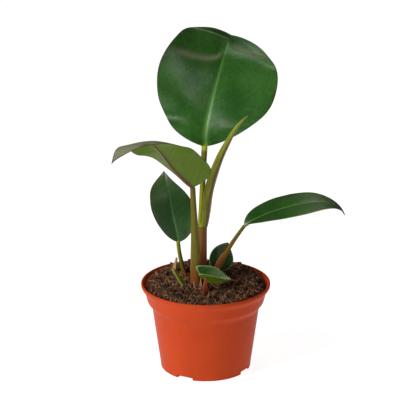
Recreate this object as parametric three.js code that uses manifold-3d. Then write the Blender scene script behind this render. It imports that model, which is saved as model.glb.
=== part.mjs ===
// Potted philodendron: a young plant in a moulded nursery pot, in millimetres, +Z up.
// The origin is the centre of the pot's underside. -Y is the front, +X is to the right.

import * as THREE from 'three';
import { LoftGeometry } from 'three/addons/geometries/LoftGeometry.js';
import { mergeVertices } from 'three/addons/utils/BufferGeometryUtils.js';
import Module from 'manifold-3d';

const wasm = await Module();
wasm.setup();

// ---------------------------------------------------------------- driving dimensions

// Gap kept between pieces that touch.
const CLEARANCE = 0.3;

// Pot
const POT_HEIGHT = 76;
const RIM_DIAMETER = 110;
const LIP_OVERHANG = 3;
const LIP_HEIGHT = 3;
const LIP_FLARE = 3.6;
const BAND_HEIGHT = 16;
const BAND_DRAFT = 2.4;
const STEP_WIDTH = 3.8;
const STEP_HEIGHT = 4.6;
const BASE_DIAMETER = 77;
const WALL = 1.5;
const FLOOR = 1.8;
const BASE_CORNER = 3;
const UNDERSIDE_RECESS = 0.8;
const CENTRE_PAD_RADIUS = 9;
const FOOT_RING_WIDTH = 8;
const SLOT_COUNT = 4;
const SLOT_WIDTH = 15;
const SLOT_HEIGHT = 3.3;
const SLOT_REACH = 6;
const FIRST_SLOT_ANGLE = 242;
const POT_FACETS = 64;

// Soil
const SOIL_DROP = 2.2;
const SOIL_MOUND = 2.6;
const SOIL_TILT = 2.4;
const SOIL_LUMP = 0.7;
const SOIL_FACETS = 32;

// Roots
const CROWN_RADIUS = 14;
const CROWN_HEIGHT = 18;
const CROWN_NECK_RADIUS = 3;
const CROWN_NECK_HEIGHT = 3.5;
const ROOT_COUNT = 6;
const ROOT_RADIUS = 1.6;
const ROOT_TO_WALL = 7;
const ROOT_TO_FLOOR = 8;
const BURIED = 6;

// Blades
const BLADE_THICKNESS = 0.9;
const BLADE_STATIONS = 13;
const BLADE_HALF_COLUMNS = 4;
const STALK_SIDES = 10;
const STALK_STEPS = 10;
const HOLE_LENGTH = 16;

// Overall scale of growth: leaf blades and the stalks that carry them.
const LEAF_SIZE = 1;
const STALK_SIZE = 1;

// Each stalk: where its foot stands (x, y, from the pot's axis), its length, its heading and its
// slope in degrees at even steps from foot to end, and its width and depth at the same steps.
// Heading 0 points right, 90 to the back, 180 left, 270 to the front. Slope 90 is upright.
const MAIN_STALK = {
  foot: [-3.1, -0.4], length: 55, heading: [80, 80, 70, 60], slope: [88, 88, 88, 88],
  width: [8, 8, 7.8, 7.6], depth: [7.6, 7.6, 7.4, 7.2],
};
const STALK_COLLAR = {
  length: 2.2, heading: [60, 60], slope: [88, 88], width: [7.8, 8.8, 8], depth: [7.4, 8.4, 7.6], steps: 4,
};
// How far the two stalks on the collar stand from its middle, sideways and towards the back.
const FORK_SPREAD = [-2.3, -0.8];
const TOP_PETIOLE = {
  length: 66, heading: [20, 35, 45, 60], slope: [86, 87, 86, 85],
  width: [5, 4.8, 4.8, 5.2], depth: [5, 4.6, 4.4, 4.2],
};
const NEW_LEAF = {
  length: 106.6, heading: [320, 325, 336, 340, 348, 354, 346], slope: [79, 84.6, 74.7, 70.3, 64, 59, 40],
  width: [4.6, 6.6, 7.2, 6.6, 4.9, 2.9, 0.7], depth: [4.4, 6, 6.2, 5.6, 4.4, 2.8, 0.7],
};
const ARCHING_PETIOLE = {
  foot: [-7.6, -8.6], length: 94, heading: [250, 250, 240, 230, 230], slope: [84, 86, 86.5, 86, 87],
  width: [10, 9.6, 7.4, 5.4, 4.3], depth: [7, 7, 6, 5, 4.2],
};
const LOWER_LEFT_PETIOLE = {
  foot: [-15.4, 14.4], length: 39.5, heading: [200, 212, 222, 250], slope: [68, 74, 77, 80],
  width: [6, 4.6, 3.6, 3.4], depth: [5, 4, 3.4, 3.2],
};
const RIGHT_PETIOLE = {
  foot: [3.6, 2.8], length: 67, heading: [345, 335, 336, 330], slope: [70, 65, 59, 54],
  width: [8.4, 6.8, 4.3, 3.2], depth: [5.4, 5, 3.8, 3],
};
const BACK_PETIOLE = {
  foot: [6.6, 8.6], length: 11.5, heading: [40, 35, 35], slope: [78, 76, 74],
  width: [4.6, 4.2, 3.4], depth: [3.8, 3.4, 3],
};
const FRONT_PETIOLE = {
  foot: [4.6, -24.2], length: 14.5, heading: [170, 165, 160], slope: [74, 70, 66],
  width: [6, 5, 3.6], depth: [4.4, 3.8, 3],
};

// Small dry or coloured scales at the foot of the plant: foot, length, heading, slope, width, depth.
const SCALES = {
  front_bract: {
    foot: [0.2, -29.4], length: 21, heading: [150, 110, 80], slope: [84, 88, 90],
    width: [5.6, 5, 0.8], depth: [2.6, 2.2, 0.8], color: 0x9a4a30, finish: 0.6,
  },
  left_bract: {
    foot: [-11, 1.4], length: 21, heading: [160, 155, 150], slope: [60, 62, 66],
    width: [4.4, 4, 0.8], depth: [2.2, 2, 0.8], color: 0x98402f, finish: 0.6,
  },
  dry_stub: {
    foot: [-28.2, 19], length: 20.5, heading: [30, 20, 0], slope: [80, 80, 82],
    width: [3.8, 3.6, 2], depth: [3, 2.6, 1.2], color: 0xc08a5c, finish: 0.8,
  },
  dry_strip_left: {
    foot: [-8.4, -19.4], length: 13, heading: [100, 110, 120], slope: [62, 66, 70],
    width: [2.4, 2.2, 0.8], depth: [1.2, 1, 0.8], color: 0xb49468, finish: 0.85,
  },
  dry_strip_right: {
    foot: [-3.8, -18.4], length: 15, heading: [100, 95, 90], slope: [74, 78, 84],
    width: [2.6, 2.2, 0.8], depth: [1.3, 1.1, 0.8], color: 0x6d3527, finish: 0.8,
  },
};

// Each blade: its length, the widths of its left and right halves (seen from above with the tip
// ahead), how far the broadest place is shifted towards the base (above 1) or the tip, how round
// its base and its tip are (0.5 is round, 1 and more is pointed), how far its margins sweep back
// past the base, and at even steps from base to tip: heading and slope of the midrib, roll of the
// blade about it, upward fold of both halves, the further bend of each half out to its margin, and
// the share of the plain outline that the left and the right half have.
const TOP_LEAF = {
  length: 113, left: 52, right: 51, broad: 0.92, baseRound: 0.67, tipRound: 0.6, sweep: 0,
  heading: [89.5, 66.6, 61.7, 63.3, 68.9, 75.6, 84],
  slope: [66.3, 65.3, 61, 56.3, 47.4, 21.3, -2.4], roll: [-23, -14, -28, -34, -30, -23, -21],
  fold: [19, 8.9, 11.4, 11.8, 13.6, 11, 14.6], bend: [-12.2, -12, -2.1, 2.3, 5.1, -3.4, -2.4],
  leftTrim: [1.07, 0.95, 0.97, 1.01, 1.01, 0.91, 0.61],
  rightTrim: [0.99, 0.96, 0.99, 1, 1.05, 1.07, 0.93],
};
const ARCHING_LEAF = {
  length: 118.9, left: 30, right: 17, broad: 0.64, baseRound: 0.6, tipRound: 1.25, sweep: 0,
  heading: [213.4, 215.3, 224.2, 232.3, 232.3, 230.2, 236.2],
  slope: [49.5, 45.5, 52.1, 38, 9.1, -11.5, -45.8], roll: [-36, -27, -25, -25, -19, -4, 24],
  fold: [16.9, 17.3, 11.7, -2.6, -3.3, 3, 6.7], bend: [-7, -2.1, -5.2, -21.1, -19.7, -10.3, -4.9],
  leftTrim: [1.31, 1.03, 0.88, 0.93, 1.01, 1.12, 1.36],
  rightTrim: [0.47, 0.47, 0.67, 1.12, 1.39, 1.53, 1.64],
};
const LOWER_LEFT_LEAF = {
  length: 63.2, left: 17, right: 18.5, broad: 0.88, baseRound: 0.8, tipRound: 1.1, sweep: 0,
  heading: [169.9, 164.2, 155.3, 143.5, 133.2, 118.9, 102.5],
  slope: [84.3, 77.3, 76.8, 78.8, 73, 62.7, 51.1], roll: [90, 72, 57, 42, 30, 25, 33],
  fold: [23.9, 18.9, 15.6, 14.4, 13.6, 10.6, 1.8], bend: [2.8, -1, -3.2, -2.8, -0.6, -0.5, -7.2],
  leftTrim: [1.05, 0.93, 0.94, 1.06, 1.29, 1.62, 1.77],
  rightTrim: [1.49, 1.29, 1.13, 1.02, 0.91, 0.77, 0.72],
};
const RIGHT_LEAF = {
  length: 93.9, left: 19, right: 22, broad: 0.93, baseRound: 0.7, tipRound: 1.05, sweep: 0,
  heading: [350.3, 349.5, 350.6, 353.9, 357.5, 360.3, 358.3],
  slope: [38.4, 29.4, 21.3, 15.3, 7.5, -19.2, -65.4], roll: [-21, -15, -12, -11, -11, -6, -1],
  fold: [31.6, 16.8, 12.8, 10.8, 9.3, 7.1, 9.9], bend: [3, -8.9, -13.2, -13.4, -11.9, -9.1, -1.7],
  leftTrim: [1.32, 1.17, 1.07, 1.01, 0.97, 0.95, 0.96],
  rightTrim: [0.99, 1, 0.97, 0.98, 1.02, 1.05, 1.03],
};
const BACK_LEAF = {
  length: 27, left: 9, right: 12, broad: 0.86, baseRound: 0.62, tipRound: 0.9, sweep: 0.1,
  heading: [40, 34, 30, 30], slope: [76, 68, 58, 48],
  roll: [-54, -56, -58, -58], fold: [14, 10, 8, 6], bend: [-6, -6, -6, -6],
  leftTrim: [1, 1], rightTrim: [1, 1],
};
const FRONT_LEAF = {
  length: 23, left: 14.2, right: 9.5, broad: 0.6, baseRound: 0.36, tipRound: 1, sweep: 1.3,
  heading: [-8, -8, -10, -12], slope: [-14, 2, 18, 28],
  roll: [0, 0, 0, 0], fold: [76, 70, 60, 46], bend: [-14, -14, -12, -10],
  leftTrim: [1, 1], rightTrim: [1, 1],
};
const CURLED_LEAF = {
  foot: [-10.8, -18.6], length: 30, heading: [150, 146, 144], slope: [42, 46, 52],
  width: [3, 6.6, 0.9], depth: [2.4, 3.4, 0.9],
};

// ---------------------------------------------------------------- values that follow

const SOIL_LEVEL = POT_HEIGHT - SOIL_DROP + SOIL_MOUND;
const FOOT_LEVEL = SOIL_LEVEL - BURIED;
const CROWN_SHOULDER = FOOT_LEVEL - CLEARANCE - CROWN_NECK_HEIGHT;
const RIM_RADIUS = RIM_DIAMETER / 2;
const BASE_RADIUS = BASE_DIAMETER / 2;
const BAND_TOP_RADIUS = RIM_RADIUS - LIP_OVERHANG;
const BAND_BOTTOM_RADIUS = BAND_TOP_RADIUS - BAND_DRAFT;
const BODY_TOP_RADIUS = BAND_BOTTOM_RADIUS - STEP_WIDTH;
const BAND_TOP = POT_HEIGHT - LIP_HEIGHT - LIP_FLARE;
const BAND_BOTTOM = POT_HEIGHT - BAND_HEIGHT;
const BODY_TOP = BAND_BOTTOM - STEP_HEIGHT;

// ---------------------------------------------------------------- helpers

/** Smooth value at u (0 to 1) through numbers that are evenly spaced. */
function along(values, u) {
  const last = values.length - 1;
  const at = Math.min(Math.max(u, 0), 1) * last;
  const i = Math.min(Math.floor(at), last - 1);
  const f = at - i;
  const b = values[i];
  const c = values[i + 1];
  const a = i > 0 ? values[i - 1] : 2 * b - c;
  const d = i + 2 <= last ? values[i + 2] : 2 * c - b;
  const slopeB = (c - a) / 2;
  const slopeC = (d - b) / 2;
  const rise = b + slopeB * f;
  return rise + (3 * (c - b) - 2 * slopeB - slopeC) * f * f + (2 * (b - c) + slopeB + slopeC) * f ** 3;
}

/** Forward, side and up directions for a heading, slope and roll in degrees. */
function directions(heading, slope, roll) {
  const h = THREE.MathUtils.degToRad(heading);
  const p = THREE.MathUtils.degToRad(slope);
  const r = THREE.MathUtils.degToRad(roll);
  const forward = new THREE.Vector3(Math.cos(h) * Math.cos(p), Math.sin(h) * Math.cos(p), Math.sin(p));
  const level = new THREE.Vector3(Math.sin(h), -Math.cos(h), 0);
  const above = new THREE.Vector3(-Math.cos(h) * Math.sin(p), -Math.sin(h) * Math.sin(p), Math.cos(p));
  const side = level.clone().multiplyScalar(Math.cos(r)).addScaledVector(above, Math.sin(r));
  const up = above.clone().multiplyScalar(Math.cos(r)).addScaledVector(level, -Math.sin(r));
  return { forward, side, up };
}

/** Walks a growth path in small steps; returns a function of u that gives its point and frame. */
function growthPath(start, shape, length) {
  const steps = 120;
  const frameAt = (u) => directions(
    along(shape.heading, u), along(shape.slope, u), shape.roll ? along(shape.roll, u) : 0,
  );
  const points = [start.clone()];
  for (let i = 0; i < steps; i += 1) {
    const { forward } = frameAt((i + 0.5) / steps);
    points.push(points[i].clone().addScaledVector(forward, length / steps));
  }
  return (u) => {
    const at = Math.min(Math.max(u, 0), 1) * steps;
    const i = Math.min(Math.floor(at), steps - 1);
    return { point: points[i].clone().lerp(points[i + 1], at - i), ...frameAt(u) };
  };
}

/** Closed surface through rings of points, with both ends capped. */
function loft(rings) {
  const geometry = new LoftGeometry(rings, { capStart: true, capEnd: true });
  return weld(geometry);
}

/** Position-only geometry whose shared vertices are merged, without its collapsed triangles. */
function weld(geometry) {
  const bare = new THREE.BufferGeometry();
  bare.setAttribute('position', geometry.attributes.position);
  bare.setIndex(geometry.index);
  const merged = mergeVertices(bare, 1e-4);
  const index = merged.index.array;
  const kept = [];
  for (let i = 0; i < index.length; i += 3) {
    const [a, b, c] = [index[i], index[i + 1], index[i + 2]];
    if (a !== b && b !== c && c !== a) kept.push(a, b, c);
  }
  merged.setIndex(kept);
  return merged;
}

/**
 * Oval stalk along a path: width across and depth front to back, both read at even steps. With
 * grow it is the hole that the stalk's foot needs: larger all round, and only the lowest steps.
 */
function stalkGeometry(start, shape, grow = 0) {
  const path = growthPath(start, shape, shape.length * STALK_SIZE);
  const steps = shape.steps ?? STALK_STEPS;
  const lastStep = grow ? Math.min(steps, Math.ceil(steps * HOLE_LENGTH / shape.length)) : steps;
  const rings = [];
  for (let i = 0; i <= lastStep; i += 1) {
    const u = i / steps;
    const { point, forward, side, up } = path(u);
    const halfWidth = along(shape.width, u) / 2 + grow;
    const halfDepth = along(shape.depth, u) / 2 + grow;
    if (i === 0) point.addScaledVector(forward, -grow);
    rings.push(oval(point, up, side, halfDepth, halfWidth));
  }
  return loft(rings);
}

/** Ring of points round an oval. */
function oval(centre, up, side, halfDepth, halfWidth) {
  return Array.from({ length: STALK_SIDES }, (_, k) => {
    const turn = k / STALK_SIDES * 2 * Math.PI;
    return centre.clone()
      .addScaledVector(up, Math.cos(turn) * halfDepth)
      .addScaledVector(side, Math.sin(turn) * halfWidth);
  });
}

/** Point and frame at a stalk's end. */
function stalkEnd(start, shape) {
  return growthPath(start, shape, shape.length * STALK_SIZE)(1);
}

/** Where the next piece starts: a gap past a stalk's end. */
function pastEnd(start, shape, gap = CLEARANCE) {
  const { point, forward } = stalkEnd(start, shape);
  return point.addScaledVector(forward, gap);
}

/** Where a blade starts: further past the stalk the more sharply it turns away from it. */
function bladeStart(start, petiole, blade) {
  const { forward } = directions(blade.heading[0], blade.slope[0], 0);
  const turn = forward.angleTo(stalkEnd(start, petiole).forward);
  return pastEnd(start, petiole, CLEARANCE + BLADE_THICKNESS * Math.sin(turn));
}

/** Width of a blade's left (t below 0) or right half at u. */
function halfWidth(blade, u, t) {
  const power = blade.baseRound + (blade.tipRound - blade.baseRound) * u;
  const share = Math.max(Math.sin(Math.PI * Math.min(u, 1) ** blade.broad), 0) ** power;
  const trimmed = t < 0 ? blade.left * along(blade.leftTrim, u) : blade.right * along(blade.rightTrim, u);
  return trimmed * share * LEAF_SIZE;
}

/**
 * Leaf blade: the midrib is a growth path; each half leaves it at the fold angle and bends on
 * evenly out to the margin, so a row across the blade is two circular arcs. The rows crowd
 * towards both ends, where the outline turns fastest.
 */
function bladeGeometry(start, blade) {
  const path = growthPath(start, blade, blade.length * LEAF_SIZE);
  const first = 0.012;
  const rings = [];
  for (let i = 0; i < BLADE_STATIONS; i += 1) {
    const even = i / (BLADE_STATIONS - 1);
    const crowded = (1 - Math.cos(Math.PI * even)) / 2;
    const u = first + (1 - 2 * first) * (0.35 * even + 0.65 * crowded);
    const { point, forward, side, up } = path(u);
    const fold = THREE.MathUtils.degToRad(along(blade.fold, u));
    const bend = THREE.MathUtils.degToRad(along(blade.bend, u)) || 1e-6;
    const top = [];
    const under = [];
    for (let k = -BLADE_HALF_COLUMNS; k <= BLADE_HALF_COLUMNS; k += 1) {
      const t = k / BLADE_HALF_COLUMNS;
      const sign = Math.sign(t);
      const width = halfWidth(blade, u, t);
      const angle = fold + bend * Math.abs(t);
      const out = width * (Math.sin(angle) - Math.sin(fold)) / bend;
      const lift = width * (Math.cos(fold) - Math.cos(angle)) / bend;
      const back = blade.sweep * t ** 2 * width * (1 - u) ** 4;
      const place = point.clone()
        .addScaledVector(side, sign * out)
        .addScaledVector(up, lift)
        .addScaledVector(forward, -back);
      const normal = up.clone().multiplyScalar(Math.cos(angle))
        .addScaledVector(side, -sign * Math.sin(angle));
      top.push(place.clone().addScaledVector(normal, BLADE_THICKNESS / 2));
      under.unshift(place.clone().addScaledVector(normal, -BLADE_THICKNESS / 2));
    }
    rings.push([...top, ...under]);
  }
  return loft(rings);
}

/** Turned body from a profile of [radius, height] pairs that starts and ends on the axis. */
function turned(profile, facets) {
  const geometry = new THREE.LatheGeometry(profile.map(([r, z]) => new THREE.Vector2(r, z)), facets);
  geometry.rotateX(Math.PI / 2);
  return weld(geometry);
}

/** Solid for joining and cutting. */
function solid(geometry) {
  const mesh = new wasm.Mesh({
    numProp: 3,
    vertProperties: new Float32Array(geometry.attributes.position.array),
    triVerts: new Uint32Array(geometry.index.array),
  });
  return new wasm.Manifold(mesh);
}

/** Geometry of a joined or cut solid. */
function shell(manifold) {
  const { vertProperties, triVerts } = manifold.getMesh();
  const geometry = new THREE.BufferGeometry();
  geometry.setAttribute('position', new THREE.BufferAttribute(vertProperties, 3));
  geometry.setIndex(new THREE.BufferAttribute(triVerts, 1));
  return geometry;
}

// ---------------------------------------------------------------- the pot and what is in it

/** Inner face of the pot from its floor to its lip, moved inwards by a gap. */
function innerProfile(gap) {
  const shift = WALL + gap;
  return [
    [BASE_RADIUS - shift - BASE_CORNER, FLOOR + gap],
    [BASE_RADIUS - shift, FLOOR + gap + BASE_CORNER],
    [BODY_TOP_RADIUS - shift, BODY_TOP + WALL / 2],
    [BAND_BOTTOM_RADIUS - shift, BAND_BOTTOM + WALL / 2],
    [BAND_TOP_RADIUS - shift, BAND_TOP],
  ];
}

/** Outer face of the pot: recessed underside, rounded edge, tapered body, band and lip. */
function outerProfile() {
  const ringInner = BASE_RADIUS - FOOT_RING_WIDTH;
  const cornerCos = Math.cos(Math.PI / 4);
  return [
    [0, 0],
    [CENTRE_PAD_RADIUS, 0],
    [CENTRE_PAD_RADIUS + UNDERSIDE_RECESS, UNDERSIDE_RECESS],
    [ringInner - UNDERSIDE_RECESS, UNDERSIDE_RECESS],
    [ringInner, 0],
    [BASE_RADIUS - BASE_CORNER, 0],
    [BASE_RADIUS - BASE_CORNER * (1 - cornerCos), BASE_CORNER * (1 - cornerCos)],
    [BASE_RADIUS, BASE_CORNER],
    [BODY_TOP_RADIUS, BODY_TOP],
    [BAND_BOTTOM_RADIUS, BAND_BOTTOM],
    [BAND_TOP_RADIUS, BAND_TOP],
    [RIM_RADIUS - LIP_OVERHANG / 3, POT_HEIGHT - LIP_HEIGHT - LIP_FLARE / 3],
    [RIM_RADIUS, POT_HEIGHT - LIP_HEIGHT],
    [RIM_RADIUS, POT_HEIGHT - LIP_HEIGHT / 4],
    [RIM_RADIUS - LIP_HEIGHT / 4, POT_HEIGHT],
    [RIM_RADIUS - WALL, POT_HEIGHT],
  ];
}

/** Pot with drain slots cut through the foot of its wall. */
function potGeometry() {
  const profile = [...outerProfile(), ...innerProfile(0).reverse(), [0, FLOOR]];
  let pot = solid(turned(profile, POT_FACETS));
  const reach = SLOT_REACH + BASE_CORNER;
  for (let i = 0; i < SLOT_COUNT; i += 1) {
    const slot = new THREE.BoxGeometry(reach * 2, SLOT_WIDTH, SLOT_HEIGHT * 2);
    slot.translate(BASE_RADIUS + reach - SLOT_REACH, 0, 0);
    slot.rotateZ(THREE.MathUtils.degToRad(FIRST_SLOT_ANGLE + i * 360 / SLOT_COUNT));
    pot = pot.subtract(solid(weld(slot)));
  }
  return shell(pot);
}

/** Height of the soil's surface above the pot's underside at a place in plan. */
function soilHeight(x, y) {
  const share = Math.hypot(x, y) / BAND_TOP_RADIUS;
  const mound = SOIL_MOUND * (1 - share ** 2);
  const lumps = SOIL_LUMP * (Math.sin(x * 0.41 + 1.3) * Math.cos(y * 0.37) + Math.sin(y * 0.23 + x * 0.17));
  return POT_HEIGHT - SOIL_DROP + mound + SOIL_TILT * y / BAND_TOP_RADIUS + lumps * (1 - share ** 4);
}

/** Soil that fills the pot, with an uneven surface and room for each buried piece. */
function soilGeometry(buried) {
  const side = innerProfile(CLEARANCE);
  const edgeRadius = side[side.length - 1][0];
  const rings = [1, 0.85, 0.68, 0.5, 0.32, 0.15, 0].map((share) => [edgeRadius * share, POT_HEIGHT]);
  const body = turned([[0, FLOOR + CLEARANCE], ...side, ...rings], SOIL_FACETS);
  const position = body.attributes.position;
  for (let i = 0; i < position.count; i += 1) {
    if (position.getZ(i) > POT_HEIGHT - CLEARANCE) {
      position.setZ(i, soilHeight(position.getX(i), position.getY(i)));
    }
  }
  const holes = wasm.Manifold.union(buried.map(solid));
  return shell(solid(body).subtract(holes));
}

/** Swollen base of the plant: its neck is right under the main stalk's foot. */
function crownGeometry(grow = 0) {
  const neckTop = FOOT_LEVEL - CLEARANCE + grow;
  const shoulder = CROWN_SHOULDER + grow;
  const underside = CROWN_SHOULDER - CROWN_HEIGHT - grow;
  const radius = CROWN_RADIUS + grow;
  const crown = turned([
    [0, underside],
    [radius * 0.45, underside + CROWN_HEIGHT * 0.07],
    [radius, underside + CROWN_HEIGHT * 0.4],
    [radius, shoulder - CROWN_HEIGHT * 0.15],
    [radius * 0.86, shoulder],
    [CROWN_NECK_RADIUS + grow, shoulder],
    [CROWN_NECK_RADIUS + grow, neckTop],
    [0, neckTop],
  ], 20);
  return crown.translate(MAIN_STALK.foot[0], MAIN_STALK.foot[1], 0);
}

/** Main root: out of the crown's side, then down and outwards to its tip near the pot's foot. */
function rootGeometry(turn, grow = 0) {
  const startHeight = CROWN_SHOULDER - CROWN_HEIGHT * 0.36;
  const startRadius = CROWN_RADIUS + CLEARANCE;
  const tipRadius = BASE_RADIUS - WALL - ROOT_TO_WALL - Math.hypot(...MAIN_STALK.foot);
  const tipHeight = FLOOR + ROOT_TO_FLOOR;
  const curve = new THREE.QuadraticBezierCurve(
    new THREE.Vector2(startRadius, startHeight),
    new THREE.Vector2(tipRadius, startHeight),
    new THREE.Vector2(tipRadius, tipHeight),
  );
  const steps = 8;
  const rings = [];
  for (let i = 0; i <= steps; i += 1) {
    const u = i / steps;
    const place = curve.getPoint(u);
    const tangent = curve.getTangent(u);
    const slope = THREE.MathUtils.radToDeg(Math.atan2(tangent.y, tangent.x));
    const { forward, side, up } = directions(turn, slope, 0);
    const angle = THREE.MathUtils.degToRad(turn);
    const centre = new THREE.Vector3(
      MAIN_STALK.foot[0] + place.x * Math.cos(angle),
      MAIN_STALK.foot[1] + place.x * Math.sin(angle),
      place.y,
    );
    const overrun = i === 0 ? -grow : i === steps ? grow : 0;
    centre.addScaledVector(forward, overrun);
    const radius = ROOT_RADIUS * (1 - 0.65 * u) + grow;
    rings.push(oval(centre, up, side, radius, radius));
  }
  return loft(rings);
}

// ---------------------------------------------------------------- the model

const group = new THREE.Group();

/** Adds one named piece with its own material. */
function addPiece(name, geometry, color, roughness) {
  const material = new THREE.MeshStandardMaterial({ color, roughness, metalness: 0 });
  const mesh = new THREE.Mesh(geometry, material);
  mesh.name = name;
  group.add(mesh);
}

const foot = (shape) => new THREE.Vector3(shape.foot[0], shape.foot[1], FOOT_LEVEL);
const buried = [crownGeometry(CLEARANCE)];

/** Adds a stalk and the blade that it carries; the blade starts a clearance past the stalk. */
function addLeaf(name, start, petiole, blade, petioleColor, bladeColor) {
  addPiece(`${name}_petiole`, stalkGeometry(start, petiole), petioleColor, 0.5);
  addPiece(name, bladeGeometry(bladeStart(start, petiole, blade), blade), bladeColor, 0.35);
}

addPiece('nursery_pot', potGeometry(), 0xb8482a, 0.45);
addPiece('root_crown', crownGeometry(), 0x8a6a48, 0.8);
for (let i = 0; i < ROOT_COUNT; i += 1) {
  const turn = 20 + i * 360 / ROOT_COUNT;
  addPiece(`main_root_${i + 1}`, rootGeometry(turn), 0xc9b58c, 0.8);
  buried.push(rootGeometry(turn, CLEARANCE));
}

// The central stalk ends in a collar, out of which the top leaf and the new leaf grow.
addPiece('main_stalk', stalkGeometry(foot(MAIN_STALK), MAIN_STALK), 0x7a4a2c, 0.55);
const collarStart = pastEnd(foot(MAIN_STALK), MAIN_STALK);
addPiece('stalk_collar', stalkGeometry(collarStart, STALK_COLLAR), 0xa8a850, 0.5);
const fork = stalkEnd(collarStart, STALK_COLLAR);
const spread = fork.side.clone().multiplyScalar(FORK_SPREAD[0]).addScaledVector(fork.up, FORK_SPREAD[1]);
const topStart = pastEnd(collarStart, STALK_COLLAR).add(spread);
const newStart = pastEnd(collarStart, STALK_COLLAR).sub(spread);
addLeaf('top_leaf', topStart, TOP_PETIOLE, TOP_LEAF, 0x6f6a35, 0x2c5a26);
addPiece('new_leaf', stalkGeometry(newStart, NEW_LEAF), 0x8c8a2c, 0.45);

const shoots = [
  ['arching_leaf', ARCHING_PETIOLE, ARCHING_LEAF, 0x7a5a28, 0x4a6a26],
  ['lower_left_leaf', LOWER_LEFT_PETIOLE, LOWER_LEFT_LEAF, 0x6b6430, 0x24491f],
  ['right_leaf', RIGHT_PETIOLE, RIGHT_LEAF, 0x8a5a36, 0x2c5128],
  ['back_leaf', BACK_PETIOLE, BACK_LEAF, 0x4a5a2c, 0x24491f],
  ['front_leaf', FRONT_PETIOLE, FRONT_LEAF, 0x7a4028, 0x3d7a3a],
];
for (const [name, petiole, blade, petioleColor, bladeColor] of shoots) {
  addLeaf(name, foot(petiole), petiole, blade, petioleColor, bladeColor);
  buried.push(stalkGeometry(foot(petiole), petiole, CLEARANCE));
}
addPiece('curled_leaf', stalkGeometry(foot(CURLED_LEAF), CURLED_LEAF), 0x8aa83a, 0.45);
for (const [name, scale] of Object.entries(SCALES)) {
  addPiece(name, stalkGeometry(foot(scale), scale), scale.color, scale.finish);
}
for (const shape of [MAIN_STALK, CURLED_LEAF, ...Object.values(SCALES)]) {
  buried.push(stalkGeometry(foot(shape), shape, CLEARANCE));
}
addPiece('potting_soil', soilGeometry(buried), 0x3a2a22, 0.95);

export default group;
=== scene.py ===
"""Potted philodendron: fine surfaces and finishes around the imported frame."""

import math

import bmesh
import bpy
import numpy as np
from bpy.props import FloatProperty, FloatVectorProperty, IntProperty, PointerProperty
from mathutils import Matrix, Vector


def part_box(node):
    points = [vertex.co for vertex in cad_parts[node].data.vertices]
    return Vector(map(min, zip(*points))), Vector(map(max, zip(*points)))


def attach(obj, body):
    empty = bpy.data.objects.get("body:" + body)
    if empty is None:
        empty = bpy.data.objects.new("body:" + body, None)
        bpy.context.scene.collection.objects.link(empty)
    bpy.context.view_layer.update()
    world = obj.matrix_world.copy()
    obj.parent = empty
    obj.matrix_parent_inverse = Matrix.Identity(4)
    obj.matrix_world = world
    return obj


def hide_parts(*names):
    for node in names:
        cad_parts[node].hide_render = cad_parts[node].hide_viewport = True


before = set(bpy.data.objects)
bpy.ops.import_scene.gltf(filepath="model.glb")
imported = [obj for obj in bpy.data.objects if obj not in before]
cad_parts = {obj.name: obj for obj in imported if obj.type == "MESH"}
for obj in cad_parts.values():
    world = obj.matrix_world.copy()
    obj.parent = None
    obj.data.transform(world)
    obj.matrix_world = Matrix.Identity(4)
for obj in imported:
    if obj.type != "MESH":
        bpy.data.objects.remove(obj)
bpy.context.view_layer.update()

bl_info = {
    "name": "Potted Philodendron",
    "version": (1, 0, 0),
    "blender": (4, 5, 0),
    "location": "View3D > Sidebar > Philodendron",
    "description": "Builds a young philodendron in a moulded nursery pot",
    "category": "Add Mesh",
}

MM = 0.001
SEED = 7

# Places that come from the frame, in millimetres.
POT_LOW, POT_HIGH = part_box("nursery_pot")
POT_HEIGHT = POT_HIGH[2] / MM
RIM_RADIUS = POT_HIGH[0] / MM

# ---------------------------------------------------------------- design values, as in the part

CLEARANCE = 0.3
LIP_OVERHANG = 3
LIP_HEIGHT = 3
LIP_FLARE = 3.6
BAND_HEIGHT = 16
BAND_DRAFT = 2.4
STEP_WIDTH = 3.8
STEP_HEIGHT = 4.6
BASE_RADIUS = 38.5
WALL = 1.5
FLOOR = 1.8
BASE_CORNER = 3
UNDERSIDE_RECESS = 0.8
CENTRE_PAD_RADIUS = 9
FOOT_RING_WIDTH = 8
SLOT_COUNT = 4
SLOT_WIDTH = 15
SLOT_HEIGHT = 3.3
SLOT_REACH = 6
FIRST_SLOT_ANGLE = 242

SOIL_DROP = 2.2
SOIL_MOUND = 2.6
SOIL_TILT = 2.4
SOIL_LUMP = 0.7
BURIED = 6
BLADE_THICKNESS = 0.9
FORK_SPREAD = (-2.3, -0.8)

BAND_TOP_RADIUS = RIM_RADIUS - LIP_OVERHANG
BAND_BOTTOM_RADIUS = BAND_TOP_RADIUS - BAND_DRAFT
BODY_TOP_RADIUS = BAND_BOTTOM_RADIUS - STEP_WIDTH
BAND_TOP = POT_HEIGHT - LIP_HEIGHT - LIP_FLARE
BAND_BOTTOM = POT_HEIGHT - BAND_HEIGHT
BODY_TOP = BAND_BOTTOM - STEP_HEIGHT
FOOT_LEVEL = POT_HEIGHT - SOIL_DROP + SOIL_MOUND - BURIED

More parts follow.
